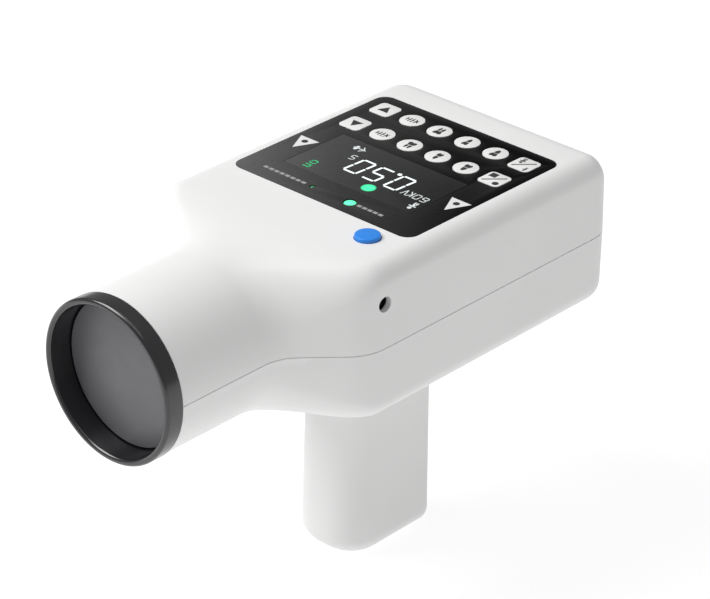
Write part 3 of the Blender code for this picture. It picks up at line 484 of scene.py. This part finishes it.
def carve(obj, tools, operation="DIFFERENCE"):
    """Applies one Boolean for each tool, then removes the tools."""
    for tool in tools:
        modifier = obj.modifiers.new("carve", "BOOLEAN")
        modifier.operation = operation
        modifier.solver = "EXACT"
        modifier.object = tool
    settle(obj)
    for tool in tools:
        bpy.data.objects.remove(tool, do_unlink=True)


def settle(obj):
    """Replaces the object's mesh by its mesh with modifiers applied."""
    evaluated = obj.evaluated_get(bpy.context.evaluated_depsgraph_get())
    mesh = bpy.data.meshes.new_from_object(evaluated)
    obj.modifiers.clear()
    obj.data = mesh


def smooth(obj, angle=30.0):
    obj.data.shade_smooth()
    obj.data.set_sharp_from_angle(angle=math.radians(angle))


def round_edges(obj, width, segments=3, angle=35.0):
    modifier = obj.modifiers.new("round", "BEVEL")
    modifier.width = width
    modifier.segments = segments
    modifier.limit_method = "ANGLE"
    modifier.angle_limit = math.radians(angle)
    modifier.harden_normals = False
    settle(obj)


def stand_for(obj, node, body):
    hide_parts(node)
    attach(obj, body)


def trim(obj, body):
    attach(obj, body)


# Body shells ----------------------------------------------------------------------------------------


def smooth_step(low, high, value):
    t = min(max((value - low) / (high - low), 0.0), 1.0)
    return t * t * (3.0 - 2.0 * t)


def bow(radius, offset):
    return math.sqrt(max(radius * radius - offset * offset, 0.0))


def half_width(y, inset):
    """The body's outline from above: cone, concave neck, 45 degree shoulder, side, back corner."""
    diagonal = math.sqrt(0.5)
    neck_r = NECK_FILLET_R + inset
    shoulder_r = SHOULDER_R - inset
    neck_x = CONE_R + NECK_FILLET_R
    shoulder_x = HALF_WIDTH - SHOULDER_R
    neck_end = (neck_x - neck_r * diagonal, CONE_END_Y + neck_r * diagonal)
    outer_neck = (neck_x - NECK_FILLET_R * diagonal, CONE_END_Y + NECK_FILLET_R * diagonal)
    shoulder_y = outer_neck[1] + (shoulder_x + SHOULDER_R * diagonal - outer_neck[0]) + SHOULDER_R * diagonal
    back_y = BACK_Y - BACK_CORNER_R
    if y <= CONE_END_Y:
        return CONE_R - inset
    if y <= neck_end[1]:
        return neck_x - bow(neck_r, y - CONE_END_Y)
    if y <= shoulder_y - shoulder_r * diagonal:
        return neck_end[0] + (y - neck_end[1])
    if y <= shoulder_y:
        return shoulder_x + bow(shoulder_r, shoulder_y - y)
    if y <= back_y:
        return HALF_WIDTH - inset
    return HALF_WIDTH - BACK_CORNER_R + bow(BACK_CORNER_R - inset, y - back_y)


def reach_at(y, inset, upward):
    """How far the section reaches above or below the cone's axis."""
    full = TOP_Z - AXIS_Z if upward else AXIS_Z - FLOOR_Z
    end_r = BACK_TOP_R if upward else BACK_FLOOR_R
    reach = CONE_R + smooth_step(CONE_END_Y, SQUARE_Y, y) * (full - CONE_R) - inset
    over = y - (BACK_Y - end_r)
    return reach if over <= 0 else reach - (end_r - inset) + bow(end_r - inset, over)


def quarter(width, height, edge_r, square, steps):
    """From (width, 0) to (0, height): a quarter round that turns into a rounded corner."""
    side_steps, arc_steps, top_steps = steps
    side = height - edge_r
    top = width - edge_r
    corner = [(width, side * i / side_steps) for i in range(side_steps)]
    corner += arc((top, side), edge_r, 0, 90, arc_steps)[:-1]
    corner += [(top * (1 - i / top_steps), height) for i in range(top_steps + 1)]
    points = []
    for i, (x, z) in enumerate(corner):
        angle = math.pi / 2 * i / sum(steps)
        round_x = width * math.cos(angle)
        round_z = height * math.sin(angle)
        points.append((round_x + square * (x - round_x), round_z + square * (z - round_z)))
    return points


def half_section(y, inset, steps, upward, seam=0.0, chamfer=0.0):
    square = smooth_step(CONE_END_Y, SQUARE_Y, y)
    reach = reach_at(y, inset, upward)
    width = half_width(y, inset)
    right = quarter(width, reach, EDGE_R - inset, square, steps)
    if chamfer:
        right = [(width - chamfer, seam), (width, seam + chamfer)] + right[1:]
    both = right + [(-x, z) for x, z in reversed(right[:-1])]
    sign = 1.0 if upward else -1.0
    return [(x * (1.0 - SIDE_DRAFT * square * z / reach), y, AXIS_Z + sign * max(z, seam)) for x, z in both]


def stations(inset, front_y, neck_step, side_step, back_steps):
    ys = [front_y, CONE_END_Y]
    count = round((SQUARE_Y - CONE_END_Y) / neck_step)
    ys += [CONE_END_Y + (SQUARE_Y - CONE_END_Y) * i / count for i in range(1, count + 1)]
    back_y = BACK_Y - BACK_CORNER_R
    count = round((back_y - SQUARE_Y) / side_step)
    ys += [SQUARE_Y + (back_y - SQUARE_Y) * i / count for i in range(1, count + 1)]
    reach = BACK_CORNER_R - inset
    ys += [back_y + reach * math.sin(math.pi / 2 * i / back_steps) for i in range(1, back_steps + 1)]
    return ys


def half_shell(name, upward, material):
    ys = stations(0.0, CONE_START_Y, 1.5 * MM, 12.0 * MM, 16)
    rings = [half_section(y, 0.0, (6, 14, 8), upward, GAP / 2, SEAM_CHAMFER) for y in ys]
    shell = loft(name, rings, material)
    inner = []
    for y in stations(WALL, FRONT_Y - REBATE_FRONT, 5.0 * MM, 30.0 * MM, 6):
        over = half_section(y, WALL, (2, 6, 4), True)
        under = half_section(y, WALL, (2, 6, 4), False)
        inner.append(over + list(reversed(under))[1:-1])
    depth = RIM[1].y - FRONT_Y + GAP
    rebate = [(0.0, REBATE_FRONT), (SPIGOT_R + GAP, REBATE_FRONT), (SPIGOT_R + GAP, -depth), (0.0, -depth)]
    lay = Matrix.Translation((0, FRONT_Y, AXIS_Z)) @ ALONG_MINUS_Y
    return shell, [loft("cavity", inner), turned("rebate", rebate, lay)]


def upright_hole(name, x, y, radius, low, high, steps=48):
    profile = [(0.0, high), (radius, high), (radius, low), (0.0, low)]
    return turned(name, profile, Matrix.Translation((x, y, 0.0)), steps=steps)


def middle(box):
    return (box[0] + box[1]) / 2


def upper_shell(look):
    shell, tools = half_shell("upper_shell", True, look["white"])
    low = (PANEL[0].x - GAP, PANEL[0].y - GAP, PANEL[0].z - GAP)
    high = (PANEL[1].x + GAP, PANEL[1].y + GAP, TOP_Z + 3 * MM)
    tools.append(block("recess", low, high, None, PANEL_R + GAP, 16))
    through = (TOP_Z - WALL - MM, TOP_Z + MM)
    for key in KEYS:
        at = middle(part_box(key))
        tools.append(upright_hole("stem_hole", at.x, at.y, STEM_HOLE_R, *through, steps=16))
    for led in ("ready_led", "exposure_led"):
        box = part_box(led)
        at = middle(box)
        radius = (box[1].x - box[0].x) / 2 + LED_MARGIN
        tools.append(upright_hole("led_hole", at.x, at.y, radius, *through, steps=24))
    screen_low = (SCREEN[0].x + SCREEN_LEDGE, SCREEN[0].y + SCREEN_LEDGE, through[0])
    screen_high = (SCREEN[1].x - SCREEN_LEDGE, SCREEN[1].y - SCREEN_LEDGE, through[1])
    tools.append(block("screen_hole", screen_low, screen_high))
    at = middle(BUTTON)
    tools.append(upright_hole("button_hole", at.x, at.y, BUTTON_R + GAP, *through, steps=96))
    at = middle(JACK)
    out, end = HOLE_REACH
    hole = [(0.0, out), (HOLE_R, out), (HOLE_R, end), (0.0, end)]
    tools.append(turned("jack_hole", hole, Matrix.Translation((HALF_WIDTH, at.y, at.z)) @ ALONG_X, steps=64))
    carve(shell, tools)
    smooth(shell)
    stand_for(shell, "upper_housing", ROOT)


def lower_shell(look):
    shell, tools = half_shell("lower_shell", False, look["white"])
    depth = (FLOOR_Z - MM, FLOOR_Z + COUNTERBORE)
    for i in range(1, 5):
        at = middle(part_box(f"housing_screw_{i}"))
        tools.append(upright_hole("foot_hole", at.x, at.y, SCREW_HEAD_R + GAP, *depth))
    neck_low = (-NECK_HALF_X - GAP, NECK_Y[0] - GAP, FLOOR_Z - MM)
    neck_high = (NECK_HALF_X + GAP, NECK_Y[1] + GAP, FLOOR_Z + 7 * MM)
    tools.append(block("neck_hole", neck_low, neck_high, None, NECK_R + GAP))
    carve(shell, tools)
    smooth(shell)
    stand_for(shell, "lower_housing", ROOT)


def seam_tongue(look):
    """The tongue inside the parting line, which keeps the thin gap from showing the inside."""
    outer, inner, half = TONGUE
    ys = stations(outer, CONE_START_Y + 2 * MM, 1.5 * MM, 12.0 * MM, 16)
    side = [(half_width(y, outer), half_width(y, outer) - inner + outer, y) for y in ys[:-1]]
    corners = []
    for near, far, y in side:
        inward = min(y, BACK_Y - inner)
        corners.append([(near, y), (far, inward)])
    path = corners + [[(-a[0], a[1]), (-b[0], b[1])] for a, b in reversed(corners)]
    low, high = AXIS_Z - half, AXIS_Z + half
    rings = [[(*a, low), (*a, high), (*b, high), (*b, low)] for a, b in path]
    tongue = loft("seam_tongue", rings, look["white"])
    smooth(tongue)
    trim(tongue, ROOT)


def grip_ring(z, inset, front_y):
    """The grip's section at height z: one full curve across its front, two tight rear corners."""
    ring = []
    for i in range(48):
        angle = math.pi + math.pi * i / 47
        across = abs(math.cos(angle)) ** (2 / GRIP_NOSE_POWER)
        along = abs(math.sin(angle)) ** (2 / GRIP_NOSE_POWER)
        x = math.copysign((GRIP_HALF_X - inset) * across, math.cos(angle))
        ring.append((x, front_y + GRIP_NOSE - (GRIP_NOSE - inset) * along, z))
    r = max(GRIP_BACK_R - inset, 0.8 * MM)
    for side, start in ((1, 0), (-1, 90)):
        centre = (side * (GRIP_HALF_X - inset - r), GRIP_BACK_Y - inset - r)
        ring += [(x, y, z) for x, y in arc(centre, r, start, start + 90, 12)]
    return ring


def grip(look):
    """The plain grip: full round in front, its front leaning a little, flared where it meets the body."""
    top_z = FLOOR_Z - GAP
    rings = []
    for i in range(17):
        angle = math.pi / 2 * i / 16
        inset = GRIP_BASE_R * (1 - math.sin(angle))
        rings.append(grip_ring(GRIP_BASE_R * (1 - math.cos(angle)), inset, GRIP_FRONT_Y))
    for i in range(1, 8):
        rise = i / 8
        z = GRIP_BASE_R + (top_z - COLLAR_R - GRIP_BASE_R) * rise
        rings.append(grip_ring(z, 0.0, GRIP_FRONT_Y + GRIP_LEAN * rise))
    for i in range(13):
        angle = math.pi / 2 * i / 12
        z = top_z - COLLAR_R * (1 - math.sin(angle))
        flare = COLLAR_R * (1 - math.cos(angle))
        rings.append(grip_ring(z, 0.0, GRIP_FRONT_Y + GRIP_LEAN - flare))
    body = loft("grip_body", rings, look["white"])
    neck_low = (-NECK_HALF_X, NECK_Y[0], top_z - NECK_ROOT)
    neck_high = (NECK_HALF_X, NECK_Y[1], GRIP[1].z - MM)
    neck = block("neck", neck_low, neck_high, None, NECK_R)
    flange_low = (GRIP[0].x, GRIP[0].y, GRIP[1].z - FLANGE_THICK)
    flange = block("flange", flange_low, GRIP[1], None, FLANGE_R)
    carve(body, [neck, flange], "UNION")
    cavity_low = (-CAVITY_HALF_X, CAVITY_Y[0], CAVITY_Z)
    cavity_high = (CAVITY_HALF_X, CAVITY_Y[1], GRIP[1].z + MM)
    carve(body, [block("cavity", cavity_low, cavity_high, None, CAVITY_R)])
    smooth(body)
    stand_for(body, "grip_shell", ROOT)


def rim(look):
    """The dark rim with its full round lip, and the grey pane deep inside it."""
    place = Matrix.Translation((0.0, FRONT_Y, AXIS_Z)) @ ALONG_MINUS_Y
    outer_r = RIM[1].x
    length = CONE_START_Y - GAP - FRONT_Y
    ledge = PANE[1].y - FRONT_Y + GAP
    spigot = RIM[1].y - FRONT_Y
    profile = arc((outer_r - RIM_LIP_R, -RIM_LIP_R), RIM_LIP_R, 180, 0, 20)
    profile += [(outer_r, -length + 0.25 * MM), (outer_r - 0.25 * MM, -length), (SPIGOT_R, -length)]
    profile += [(SPIGOT_R, -spigot), (RIM_LEDGE_R, -spigot), (RIM_LEDGE_R, -ledge), (RIM_BORE_R, -ledge)]
    ring = turned("rim_ring", profile, place, look["rim"], 160, True)
    smooth(ring)
    stand_for(ring, "cone_rim", ROOT)
    radius = PANE[1].x
    front = FRONT_Y - PANE[0].y
    back = FRONT_Y - PANE[1].y
    soft = 0.5 * MM
    face = [(0.0, front)] + arc((radius - soft, front - soft), soft, 90, 0, 6) + [(radius, back), (0.0, back)]
    pane = turned("rim_pane", face, place, look["window"], 160)
    smooth(pane)
    stand_for(pane, "cone_window", ROOT)


# Panel ----------------------------------------------------------------------------------------------


def panel(look):
    low, high = PANEL
    overlay = block("panel_film", low, high, look["panel"], PANEL_R, 16)
    through = (low.z - MM, high.z + MM)
    screen_low = (SCREEN[0].x - SCREEN_SLIT, SCREEN[0].y - SCREEN_SLIT, through[0])
    screen_high = (SCREEN[1].x + SCREEN_SLIT, SCREEN[1].y + SCREEN_SLIT, through[1])
    tools = [block("screen_hole", screen_low, screen_high)]
    for key in KEYS:
        tools.append(key_shape("key_hole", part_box(key), GAP, through))
    for led in ("ready_led", "exposure_led"):
        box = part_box(led)
        at = middle(box)
        tools.append(upright_hole("led_hole", at.x, at.y, (box[1].x - box[0].x) / 2 + GAP, *through))
    carve(overlay, tools)
    round_edges(overlay, 0.12 * MM, 2)
    smooth(overlay)
    stand_for(overlay, "control_overlay", ROOT)
    screen = block("screen_film", SCREEN[0], SCREEN[1], look["screen"], 0.4 * MM, 4)
    round_edges(screen, 0.1 * MM, 2)
    smooth(screen)
    stand_for(screen, "display_window", ROOT)


def key_shape(name, box, margin, heights):
    """A key's outline widened by margin: a rounded square in the end columns, round elsewhere."""
    at = middle(box)
    half = (box[1].x - box[0].x) / 2 + margin
    if abs(at.x) > SQUARE_KEY_X:
        low = (at.x - half, at.y - half, heights[0])
        return block(name, low, (at.x + half, at.y + half, heights[1]), None, KEY_CORNER_R + margin, 8)
    return upright_hole(name, at.x, at.y, half, *heights, steps=64)


def key_cap(key, look):
    """A cap with softened edges on its short stem, and its printed sign."""
    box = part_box(key)
    at = middle(box)
    top = box[1].z
    cap = key_shape(f"{key}_cap", box, 0.0, (top - KEY_THICK, top))
    cap.data.materials.append(look["key"])
    stem = upright_hole("stem", at.x, at.y, KEY_STEM_R, box[0].z, top - 0.5 * MM, 24)
    carve(cap, [stem], "UNION")
    round_edges(cap, 0.12 * MM, 2, 50.0)
    smooth(cap)
    body = f"{key}_body"
    stand_for(cap, key, body)
    column = KEYS.index(key) % 6
    front_row = KEYS.index(key) >= 6
    for name, shapes, ink in key_signs(column, front_row):
        sign = printed(f"{key}_{name}", shapes, (at.x, at.y, top), look[ink])
        trim(sign, body)


def printed(name, shapes, at, material, thick=PRINT_THICK):
    """Flat shapes in millimetres about a point, as thin solids standing on the surface there."""
    bm = bmesh.new()
    for shape in shapes:
        low = [bm.verts.new((at[0] + x * MM, at[1] + y * MM, at[2] - thick / 2)) for x, y in shape]
        face = bm.faces.new(low)
        raised = bmesh.ops.extrude_face_region(bm, geom=[face])["geom"]
        verts = [v for v in raised if isinstance(v, bmesh.types.BMVert)]
        bmesh.ops.translate(bm, vec=(0, 0, thick), verts=verts)
    return object_from(bm, name, material)


def disc(x, y, radius, steps=28):
    return arc((x, y), radius, 0, 360 * (1 - 1 / steps), steps - 1)


def bar(x0, y0, x1, y1, width):
    """A straight stroke between two points."""
    along = Vector((x1 - x0, y1 - y0)).normalized() * (width / 2)
    dx, dy = -along.y, along.x
    return [(x0 + dx, y0 + dy), (x0 - dx, y0 - dy), (x1 - dx, y1 - dy), (x1 + dx, y1 + dy)]


def moved(shape, x, y, scale=1.0, flip=1.0):
    return [(x + px * scale, y + py * scale * flip) for px, py in shape]


def tooth(width, roots, flip):
    """A plain tooth sign: a crown with two cusps, and one or two roots beyond a narrow gap."""
    half = width / 2
    crown = [(-half, -2.2), (-half * 0.6, -2.8), (0.0, -2.35), (half * 0.6, -2.8), (half, -2.2)]
    crown += [(half * 0.95, -1.2), (half * 0.72, -0.2), (-half * 0.72, -0.2), (-half * 0.95, -1.2)]
    pitch = 1.5 * half / roots
    shapes = [crown]
    for i in range(roots):
        x = (i - (roots - 1) / 2) * pitch * 1.15
        foot = pitch * 0.46
        tip = pitch * 0.2
        waist = foot * 0.85
        root = [(x - foot, 0.12), (x + foot, 0.12), (x + waist, 1.7)]
        shapes.append(root + [(x + tip, 2.8), (x - tip, 2.8), (x - waist, 1.7)])
    return [moved(shape, 0, 0, 1.0, flip) for shape in shapes]


def bitewing(flip):
    """A film held between an upper and a lower tooth, drawn in thin strokes."""
    shapes = [bar(-3.0, 0.2 * flip, -0.6, 0.2 * flip, 0.4), bar(-2.6, -1.2, -2.6, 1.2, 0.5)]
    shapes += [bar(-1.2, -1.7, -1.2, 1.7, 0.55), bar(0.2, -1.8, 0.2, 1.8, 0.55)]
    shapes.append(bar(0.2, 0.0, 2.0, 0.0, 0.45))
    return shapes + [bar(1.2, 1.7 * flip, 3.1, -0.9 * flip, 0.5), bar(1.4, -1.5 * flip, 2.9, 0.9 * flip, 0.5)]


def person(x, y, size):
    return [disc(x, y - size * 0.62, size * 0.26), bar(x, y - size * 0.3, x, y + size * 0.35, size * 0.34),
            bar(x - size * 0.5, y - size * 0.12, x + size * 0.5, y - size * 0.12, size * 0.2),
            bar(x - size * 0.16, y + size * 0.3, x - size * 0.16, y + size * 0.8, size * 0.2),
            bar(x + size * 0.16, y + size * 0.3, x + size * 0.16, y + size * 0.8, size * 0.2)]


def key_signs(column, front_row):
    """The sign on each key: arrows, generic teeth, and two small pictures parted by a slash."""
    flip = -1.0 if front_row else 1.0
    if column == 0:
        return [("arrow", [[(-2.7, -1.9 * flip), (2.7, -1.9 * flip), (0.0, 2.9 * flip)]], "ink")]
    if column == 1:
        return [("sign", bitewing(flip), "ink")]
    if column == 2:
        return [("sign", tooth(3.8, 2, flip), "ink")]
    if column == 3:
        return [("sign", tooth(2.7, 1, flip), "ink")]
    if column == 4:
        return [("sign", tooth(3.3, 1, flip), "ink")]
    slash = [bar(-3.6, -3.4, 3.4, 3.4, 0.95)]
    if front_row:
        square = [(-1.6, -1.6), (1.6, -1.6), (1.6, 1.6), (-1.6, 1.6)]
        pictures = [moved(square, -2.3, 2.4), disc(2.6, -2.7, 1.35)]
    else:
        pictures = person(-2.3, 2.3, 2.7) + person(2.9, -2.9, 1.9)
    return [("slash", slash, "ink_grey"), ("pictures", pictures, "ink")]


SEGMENTS = {"0": "abcdef", "5": "acdfg", "6": "acdefg"}
SLANT = 0.06


def slanted(shape, middle_y):
    return [(x + SLANT * (y - middle_y), y) for x, y in shape]


def digit(character, x0, x1, y0, y1, stroke):
    """A seven-segment digit read from behind the unit: its top lies towards -Y, its left towards +X."""
    gap = stroke * 0.35
    mid = (y0 + y1) / 2
    half = stroke / 2
    left, right = x1 - half, x0 + half
    top, low = y0 + half, y1 - half
    lines = {
        "a": (left - gap, top, right + gap, top),
        "b": (right, top + gap, right, mid - gap),
        "c": (right, mid + gap, right, low - gap),
        "d": (left - gap, low, right + gap, low),
        "e": (left, mid + gap, left, low - gap),
        "f": (left, top + gap, left, mid - gap),
        "g": (left - gap, mid, right + gap, mid),
    }
    return [slanted(bar(*lines[name], stroke), mid) for name in SEGMENTS[character]]


def dashes(x0, x1, y, count, height):
    """A row of plain dashes where the panel has a word."""
    pitch = (x1 - x0) / count
    return [bar(x0 + pitch * (i + 0.12), y, x0 + pitch * (i + 0.88), y, height) for i in range(count)]


def panel_prints(look):
    """What the panel and its screen show, placed in millimetres from the panel's centre."""
    at = middle(PANEL)
    place = (at.x, at.y, PANEL[1].z)
    value = digit("0", 8.7, 15.8, -17.6, -5.4, 0.98) + digit("5", -2.3, 4.8, -17.6, -5.4, 0.98)
    value += digit("0", -11.8, -4.7, -17.6, -5.4, 0.98) + [disc(7.3, -6.0, 0.95)]
    volts = digit("6", 27.0, 29.7, -17.6, -13.6, 0.45) + digit("0", 23.4, 26.1, -17.6, -13.6, 0.45)
    strokes = [(22.4, -17.6, 22.4, -13.6), (22.2, -15.6, 20.6, -17.6), (22.2, -15.6, 20.6, -13.6)]
    strokes += [(20.0, -17.6, 18.9, -13.6), (17.8, -17.6, 18.9, -13.6)]
    volts += [bar(*stroke, 0.42) for stroke in strokes]
    unit = digit("5", -17.0, -14.4, -9.2, -5.3, 0.42)
    molar = [disc(-20.6, 0.9, 0.8), disc(-20.6, -0.9, 0.8), bar(-22.0, 0.0, -15.9, 0.0, 0.55)]
    molar += [bar(-18.2, 2.0, -16.6, 0.0, 0.5), bar(-18.2, -2.0, -16.6, 0.0, 0.5)]
    icon = digit("0", -25.4, -22.2, -22.0, -18.9, 0.6)
    icon += [bar(-25.4, y, -22.2, y, 0.6) for y in (-25.0, -23.2)] + [bar(-22.6, -25.2, -22.6, -22.8, 0.6)]
    corners = [(-4.8, 0.0), (4.8, 0.0), (0.0, -10.0)]
    signs = {
        "value": (value, "digit"),
        "volts": (volts + unit, "mark"),
        "picture": (molar + person(28.4, -22.0, 3.4), "mark"),
        "lit_dot": ([disc(*LIT_DOT, LIT_DOT_R, 48)], "dot_green"),
        "lit_icon": (icon, "icon_green"),
        "exposure_word": (dashes(-35.5, -13.0, -35.9, 8, 1.5), "print_dim"),
        "ready_word": (dashes(12.9, 26.2, -35.9, 5, 1.5), "print_dim"),
        "left_triangle": ([moved(corners, -39.0, -6.6)], "print_white"),
        "right_triangle": ([moved(corners, 39.0, -6.6)], "print_white"),
        "triangle_marks": ([disc(-39.0, -9.7, 1.35), disc(39.0, -9.7, 1.35)], "ink"),
    }
    for name, (shapes, ink) in signs.items():
        lift = 0.03 * MM if name == "triangle_marks" else 0.0
        sign = printed(f"panel_{name}", shapes, (place[0], place[1], place[2] + lift), look[ink])
        trim(sign, ROOT)


def lights_of_panel(look):
    """The two indicator lights as small domes level with the panel."""
    for led, ink in (("ready_led", "led_bright"), ("exposure_led", "led_dim")):
        low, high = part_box(led)
        at = middle((low, high))
        radius = (high.x - low.x) / 2
        crown = min(radius, 0.6 * MM)
        angles = [i * math.pi / 16 for i in range(9)]
        profile = [(radius * math.sin(a), high.z - crown + crown * math.cos(a)) for a in angles]
        profile += [(radius, low.z), (0.0, low.z)]
        dome = turned(f"{led}_dome", profile, Matrix.Translation((at.x, at.y, 0.0)), look[ink], 48)
        smooth(dome)
        stand_for(dome, led, ROOT)


def exposure_button(look):
    """A low cap with a slightly crowned top and a rounded edge, on the flange that holds it in."""
    low, high = BUTTON
    at = middle(BUTTON)
    flange_r = (high.x - low.x) / 2
    flange_z = low.z + BUTTON_FLANGE
    reach = BUTTON_R - BUTTON_EDGE_R
    profile = [(reach * i / 8, high.z - BUTTON_CROWN * (i / 8) ** 2) for i in range(9)]
    profile += arc((reach, high.z - BUTTON_CROWN - BUTTON_EDGE_R), BUTTON_EDGE_R, 90, 0, 10)[1:]
    profile += [(BUTTON_R, flange_z), (flange_r, flange_z), (flange_r, low.z), (0.0, low.z)]
    button = turned("button_cap", profile, Matrix.Translation((at.x, at.y, 0.0)), look["blue"], 96)
    smooth(button)
    stand_for(button, "exposure_button", "exposure_button_body")


def button_coil(look):
    """The return spring under the button."""
    low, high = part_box("button_spring")
    at = middle((low, high))
    wire_r = SPRING_WIRE_R
    coil_r = (high.x - low.x) / 2 - wire_r
    per_turn, around = 40, 12
    up = Vector((0.0, 0.0, 1.0))
    rings = []
    for i in range(SPRING_TURNS * per_turn + 1):
        turn = 2 * math.pi * i / per_turn
        out = Vector((math.cos(turn), math.sin(turn), 0.0))
        rise = (high.z - low.z - 2 * wire_r) * i / (SPRING_TURNS * per_turn)
        centre = Vector((at.x, at.y, low.z + wire_r + rise)) + out * coil_r
        sides = [2 * math.pi * j / around for j in range(around)]
        rings.append([centre + (out * math.cos(a) + up * math.sin(a)) * wire_r for a in sides])
    coil = loft("button_coil", rings, look["steel"])
    smooth(coil)
    stand_for(coil, "button_spring", ROOT)
    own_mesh(coil)


# Carried CAD nodes, stage and camera ----------------------------------------------------------------

INSIDE = {
    "steel": ["tube_cathode", "transformer_core"],
    "black": ["exposure_switch", "display_module", "buzzer", "charging_jack", "battery_foot"],
    "aluminium": ["generator_case", "generator_lid", "collimator_tube", "beam_filter"],
    "lead": ["tube_shield", "aperture_plate"],
    "copper": ["tube_anode", "transformer_coil"],
    "board": ["control_board", "multiplier_board", "battery_contact_board"],
    "glass": ["tube_envelope"],
    "cell": ["battery_cell_1", "battery_cell_2"],
}


def dress_inside(look):
    for ink, nodes in INSIDE.items():
        for node in nodes:
            dress(node, look[ink])
    for i in range(1, 5):
        dress(f"housing_screw_{i}", look["steel"])
        dress(f"grip_screw_{i}", look["steel"])


def dress(node, material):
    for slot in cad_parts[node].material_slots:
        slot.material = material


def area_light(name, at, aim, size, energy):
    data = bpy.data.lights.new(name, "AREA")
    data.shape = "SQUARE"
    data.size = size
    data.energy = energy
    lamp = bpy.data.objects.new(name, data)
    lamp.location = at
    lamp.rotation_euler = (Vector(aim) - Vector(at)).to_track_quat("-Z", "Y").to_euler()
    bpy.context.scene.collection.objects.link(lamp)


def studio():
    """A pale floor, an even pale surround and two large soft lights."""
    floor_bm = bmesh.new()
    bmesh.ops.create_grid(floor_bm, x_segments=1, y_segments=1, size=FLOOR_REACH)
    floor = object_from(floor_bm, "floor", floor_material())
    world = bpy.data.worlds.new("surround")
    bpy.context.scene.world = world
    world.use_nodes = True
    background = world.node_tree.nodes["Background"]
    background.inputs["Color"].default_value = (1.0, 1.0, 1.0, 1.0)
    background.inputs["Strength"].default_value = SURROUND
    for name, (at, size, energy) in LIGHTS.items():
        area_light(name, at, LIGHTS_AIM, size, energy)


def floor_material():
    n = Nodes("pale_floor")
    n.link(n.ramp(n.noise(3.0), 0.34, 0.36), n.shader.inputs["Base Color"])
    n.shader.inputs["Emission Color"].default_value = (1.0, 1.0, 1.0, 1.0)
    n.shader.inputs["Emission Strength"].default_value = 0.78
    n.link(n.ramp(n.noise(20.0), 0.75, 0.9), n.shader.inputs["Roughness"])
    n.shader.inputs["Specular IOR Level"].default_value = 0.1
    return n.material


def camera():
    """A long lens from the front right, above the unit."""
    azimuth = math.radians(CAMERA_AZIMUTH)
    elevation = math.radians(CAMERA_ELEVATION)
    roll = math.radians(CAMERA_ROLL)
    target = (cad_box[0] + cad_box[1]) / 2 + CAMERA_AIM
    level = math.cos(elevation)
    back = Vector((math.sin(azimuth) * level, -math.cos(azimuth) * level, math.sin(elevation)))
    right = Vector((math.cos(azimuth), math.sin(azimuth), 0.0))
    up = back.cross(right)
    turned_right = right * math.cos(roll) + up * math.sin(roll)
    turned_up = back.cross(turned_right)
    data = bpy.data.cameras.new("camera")
    data.sensor_fit = "HORIZONTAL"
    data.sensor_width = 36.0
    data.lens = CAMERA_LENS
    eye = bpy.data.objects.new("camera", data)
    axes = Matrix((turned_right, turned_up, back)).transposed().to_4x4()
    eye.matrix_world = Matrix.Translation(target + back * CAMERA_DISTANCE) @ axes
    bpy.context.scene.collection.objects.link(eye)
    bpy.context.scene.camera = eye


def build():
    look = make_materials()
    upper_shell(look)
    lower_shell(look)
    seam_tongue(look)
    grip(look)
    rim(look)
    panel(look)
    for key in KEYS:
        key_cap(key, look)
    panel_prints(look)
    lights_of_panel(look)
    exposure_button(look)
    button_coil(look)
    dress_inside(look)
    studio()
    camera()


build()
bpy.context.scene.view_settings.view_transform = "Standard"
